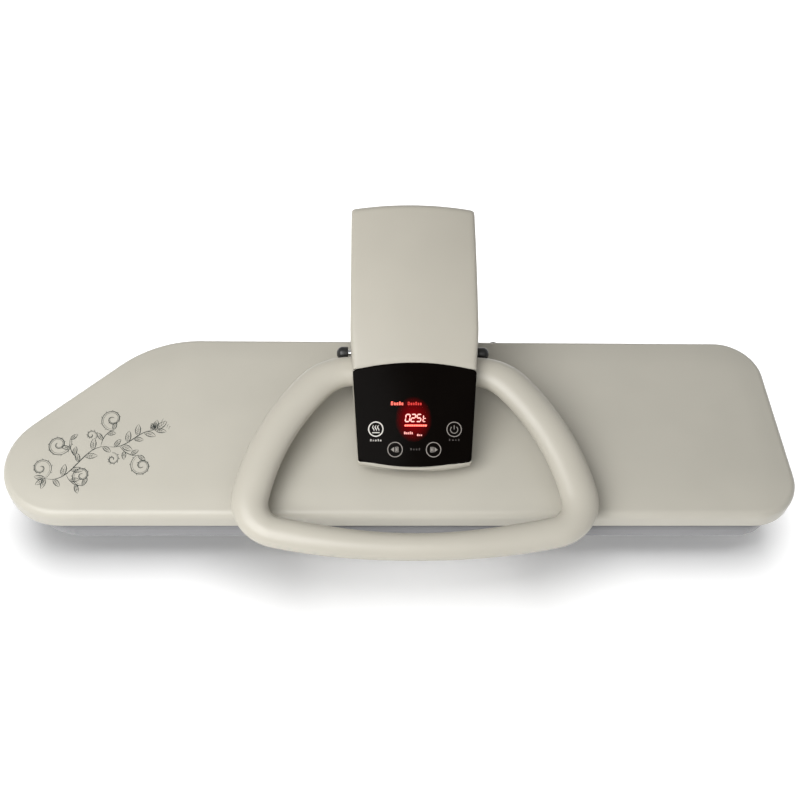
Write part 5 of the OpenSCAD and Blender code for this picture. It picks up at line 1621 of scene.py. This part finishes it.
@dataclass
class LoopHandle:
    """The closed loop handle of two half shells with a fine seam."""

    form: ArmForm
    front: float = 186.5
    rear: float = 44.0
    level: float = 173.2
    slope: float = 0.19
    half_t: float = 15.0
    core_r: float = 8.0
    seam: float = 0.05
    inside: float = 4.5
    widths: tuple[float, ...] = (16.5, 19.0, 23.0, 23.0, 20.0)
    arcs: tuple[Point2, ...] = ((800.0, 12.3), (40.0, 101.0), (295.0, 132.7))
    steps: tuple[int, ...] = (9, 20, 12, 14)

    @staticmethod
    def turn(p: Point2, h: float, r: float, a: float) -> Point2:
        """Return where an arc ends that starts at p with heading h."""
        b, c = math.radians(h + a), math.radians(h)
        return (p[0] + r * (math.sin(b) - math.sin(c)), p[1] + r * (math.cos(c) - math.cos(b)))

    def half_loop(self) -> list[Place]:
        """Return points, headings and half widths from the front's middle to the casing."""
        at: Point2 = (0.0, -self.front)
        heading = 0.0
        out = [(at, 0.0, self.widths[0])]
        for k, steps in enumerate(self.steps):
            if k < len(self.arcs):
                radius, end = self.arcs[k]
            else:
                radius, end = (self.rear - at[1]) / (1 + math.cos(math.radians(heading))), 180.0
            sweep = end - heading
            for i in range(1, steps + 1):
                t = i / steps
                width = mix(self.widths[k], self.widths[k + 1], ease(t))
                out.append((self.turn(at, heading, radius, sweep * t), heading + sweep * t, width))
            at, heading = self.turn(at, heading, radius, sweep), end
        return out

    def loop(self) -> list[Place]:
        """Return the whole loop from the left end to the right end."""
        half = self.half_loop()
        end_x = self.form.half(self.rear) - self.inside
        left = [((-p[0], p[1]), -h, w) for p, h, w in reversed(half)]
        last = self.widths[-1]
        return [((-end_x, self.rear), -180.0, last)] + left + half[1:] + [((end_x, self.rear), 180.0, last)]

    def section(self, place: Place, sign: int) -> list[Vector]:
        """Return the half section of one shell.

        Args:
            place: a point of the loop with its heading and half width.
            sign: 1 for the upper shell and -1 for the lower one.

        Returns:
            The closed ring of points.
        """
        (x, y), heading, half = place
        h = math.radians(heading)
        normal = Vector((0, -self.slope, 1)).normalized()
        out = Vector((math.sin(h), -math.cos(h), -math.cos(h) * self.slope)).normalized()
        p = Vector((x, y, self.level + self.slope * (y - self.rear)))
        outside = [0.0, 2.4, 6.0, 12.0] + [20 + 10 * k for k in range(15)] + [168.0, 174.0, 177.6, 180.0]
        path = [(a, half - (0.35 if a in (0.0, 180.0) else 0.0), self.half_t - self.seam) for a in outside]
        path += [(a, half - 4.5, self.core_r + 0.15) for a in range(180, -1, -20)]
        ring = []
        for a, wide, tall in path:
            r = math.radians(a)
            q = p + out * wide * math.cos(r) + normal * sign * (self.seam + tall * math.sin(r))
            ring.append(row(ARM_X + q.x, q.y, q.z))
        return ring

    def build(self, bench: Bench) -> None:
        """Build both half shells."""
        for name, sign in (("handle_upper", 1), ("handle_lower", -1)):
            bm = lofted([self.section(place, sign) for place in self.loop()])
            bench.piece(name + "_shell", bm, "grip_cream", Body.ARM, "grip_plastic", [name], sharp=50)


@dataclass
class ShaftKnobs:
    """The two domed black caps at the ends of the cross shaft."""

    form: ArmForm
    radius: float = 8.5
    length: float = 15.0
    gap: float = 3.5

    def build(self, bench: Bench) -> None:
        """Turn both caps."""
        r, half = self.radius, self.length * 0.5
        profile = [(4.6, 0.0), (r * 0.9, 0.0), (r * 0.96, 0.25), (r, 0.9), (r, half)]
        profile += [(r * math.cos(a), half + half * math.sin(a)) for a in (math.radians(6 * k) for k in range(1, 15))]
        profile += [(0.35, self.length - 0.01), (0.0, self.length)]
        start = self.form.half(SHAFT[0]) + self.gap
        for side, word in ((-1, "left"), (1, "right")):
            bm = bmesh.new()
            verts = [bm.verts.new(row(ARM_X + side * (start + d), SHAFT[0] + q, SHAFT[1])) for q, d in profile]
            edges = [bm.edges.new(pair) for pair in zip(verts, verts[1:])]
            bmesh.ops.spin(
                bm, geom=verts + edges, cent=row(0, *SHAFT), axis=(1, 0, 0), angle=2 * math.pi, steps=48,
                use_merge=True, use_duplicate=False,
            )
            bmesh.ops.remove_doubles(bm, verts=bm.verts, dist=1e-6)
            bench.piece(f"shaft_cap_{word}", bm, "black_satin", Body.ARM, "black_plastic", ["shaft_knobs"])


@dataclass
class LiftSprings:
    """Two wound springs round the hinge pins."""

    wire_r: float = 1.8
    coil_r: float = 12.5
    inner: float = 20.0
    pitch: float = 4.6
    turns: int = 6
    leg_to: Point2 = (167.0, 147.9)
    foot_z: float = 14.55

    def build(self, bench: Bench) -> None:
        """Wind both springs, each held by the base and the arm."""
        hy, hz = HINGE
        leg = Vector(self.leg_to) - Vector(HINGE)
        start = math.degrees(math.atan2(leg.y, leg.x)) + math.degrees(math.acos(self.coil_r / leg.length))
        sweep = 360 * self.turns + 180 - start
        coil = []
        for k in range(145):
            a = math.radians(start + sweep * k / 144)
            x = self.inner + self.pitch * sweep / 360 * k / 144
            coil.append((x, hy + self.coil_r * math.cos(a), hz + self.coil_r * math.sin(a)))
        (_, y0, z0), (outer, y1, z1) = coil[0], coil[-1]
        path = [(self.inner, mix(self.leg_to[0], y0, k / 13), mix(self.leg_to[1], z0, k / 13)) for k in range(13)]
        path += coil + [(outer, y1, mix(z1, self.foot_z, k / 12)) for k in range(1, 13)]
        for side, word in ((-1, "left"), (1, "right")):
            wire = swept([row(ARM_X + side * x, y, z) for x, y, z in path], self.wire_r * MM, 10)
            spring = bench.piece(f"lift_spring_{word}", wire, "oiled_spring", None, "spring_steel", ["lift_springs"])
            ends = (row(ARM_X + side * x, hy, hz) for x in (self.inner + 1.9, outer - 1.9))
            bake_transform(spring, "arm", "base", *ends)


@dataclass
class FeedHose:
    """The silicone hose from the pump to the steam chamber."""

    at: Point2 = (60.0, 63.0)
    low: float = 109.9
    top: float = 200.4
    radius: float = 5.2
    pump_y: float = 88.0

    def build(self, bench: Bench) -> None:
        """Bend the hose between the arm and the head."""
        x, y = self.at
        bend = self.pump_y - y - 2
        straight = self.top - bend
        path = [(x, y, mix(self.low, straight, k / 18)) for k in range(19)]
        for a in (math.radians(9 * k) for k in range(1, 11)):
            path.append((x, y + bend * (1 - math.cos(a)), straight + bend * math.sin(a)))
        path.append((x, self.pump_y, self.top))
        tube = swept([row(*p) for p in path], self.radius * MM, 20)
        hose = bench.piece("steam_hose", tube, "milky_silicone", None, "silicone", ["feed_hose"])
        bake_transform(hose, "head", "arm", row(x, y, self.low + 12), row(x, y, straight))


# The remaining parts, taken over from their solids, with their finish and the width of their rounded edges
CARRIED: dict[str, tuple[str, float]] = {
    "rubber_feet": ("foot_rubber", 0.6), "base_tray": ("base_cream", 0.8), "base_cover": ("base_cream", 0.9),
    "base_screws": ("zinc_steel", 0.2), "base_frame": ("zinc_steel", 0.3), "board_pillars": ("zinc_steel", 0.4),
    "board_rails": ("zinc_steel", 0.4), "board_pan": ("zinc_steel", 0.4), "hinge_bracket": ("zinc_steel", 0.4),
    "hinge_pins": ("polished_steel", 0.4), "hinge_clips": ("oiled_spring", 0.1), "hinge_cowl": ("base_cream", 0.8),
    "cord_gland": ("black_satin", 0.5), "rod_base_pin": ("polished_steel", 0.4), "casing_base": ("base_cream", 0.6),
    "casing_screws": ("zinc_steel", 0.2), "lever_left": ("zinc_steel", 0.5), "lever_right": ("zinc_steel", 0.5),
    "lever_bushes": ("turned_brass", 0.2), "lever_tie": ("zinc_steel", 0.4), "cross_shaft": ("polished_steel", 0.5),
    "shaft_washers": ("polished_steel", 0.2), "handle_core": ("zinc_steel", 0.0), "panel_carrier": ("black_satin", 0.2),
    "display_module": ("red_window", 0.3), "touch_pads": ("turned_brass", 0.2),
    "control_board": ("lacquered_board", 0.15), "power_board": ("lacquered_board", 0.15), "pump": ("ceramic", 0.8),
    "tank_shelf": ("base_cream", 0.4), "valve_socket": ("black_satin", 0.3), "heating_plate": ("sole_aluminium", 0.5),
    "heating_element": ("oiled_spring", 0.2), "steam_chamber": ("cast_aluminium", 0.8),
    "steam_elbow": ("turned_brass", 0.2), "thermostat": ("black_satin", 0.3), "thermal_fuse": ("ceramic", 0.2),
    "heat_shield": ("sole_aluminium", 0.1), "head_screws": ("zinc_steel", 0.2), "tilt_yoke": ("zinc_steel", 0.4),
    "yoke_screws": ("zinc_steel", 0.2), "yoke_pin": ("polished_steel", 0.3), "levelling_rod": ("zinc_steel", 0.5),
    "water_tank": ("tank_tint", 0.8), "tank_lid": ("tank_tint", 0.5), "tank_valve": ("black_satin", 0.4),
    "flap_pin": ("polished_steel", 0.2), "filler_flap": ("casing_cream", 0.5), "lock_bolt": ("zinc_steel", 0.3),
    "lock_knob": ("black_satin", 0.6),
}


def carry(bench: Bench, frame: dict) -> None:
    """Take each remaining part over, round its edges and finish it.

    Args:
        bench: the bench.
    """
    slots = {part["node"]: part["material_slot"] for part in frame["record"]["subparts"]}
    for node, (finish, width) in CARRIED.items():
        source = frame["nodes"][node]
        body = Body(body_of(source)[0])
        bm = bmesh.new()
        bm.from_mesh(source.data)
        bmesh.ops.transform(bm, matrix=source.matrix_world, verts=bm.verts)
        bmesh.ops.remove_doubles(bm, verts=bm.verts, dist=2e-6)
        bmesh.ops.dissolve_limit(bm, angle_limit=math.radians(0.4), verts=bm.verts, edges=bm.edges)
        obj = bench.piece(node + "_dressed", bm, finish, body, slots[node], [node], sharp=34)
        if width > 0:
            bench.soften(obj, width)


def main() -> None:
    """Build the dressed press piece by piece."""
    logging.basicConfig(level=logging.INFO, format="%(name)s: %(message)s")
    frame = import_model()
    bench = Bench({finish.name: finish.make() for finish in FINISHES})
    sizes, form = PlateSizes(), ArmForm()
    carry(bench, frame)
    tree = UpperShell(sizes).build(bench)
    ScrollPrint(sizes.shell_top, tree).build(bench)
    for part in (
        BoardPadding(sizes), ArmCasing(form), ControlPanel(form), LoopHandle(form), ShaftKnobs(form), LiftSprings(),
        FeedHose(),
    ):
        part.build(bench)
    Studio().build()


if __name__ == "__main__":
    main()
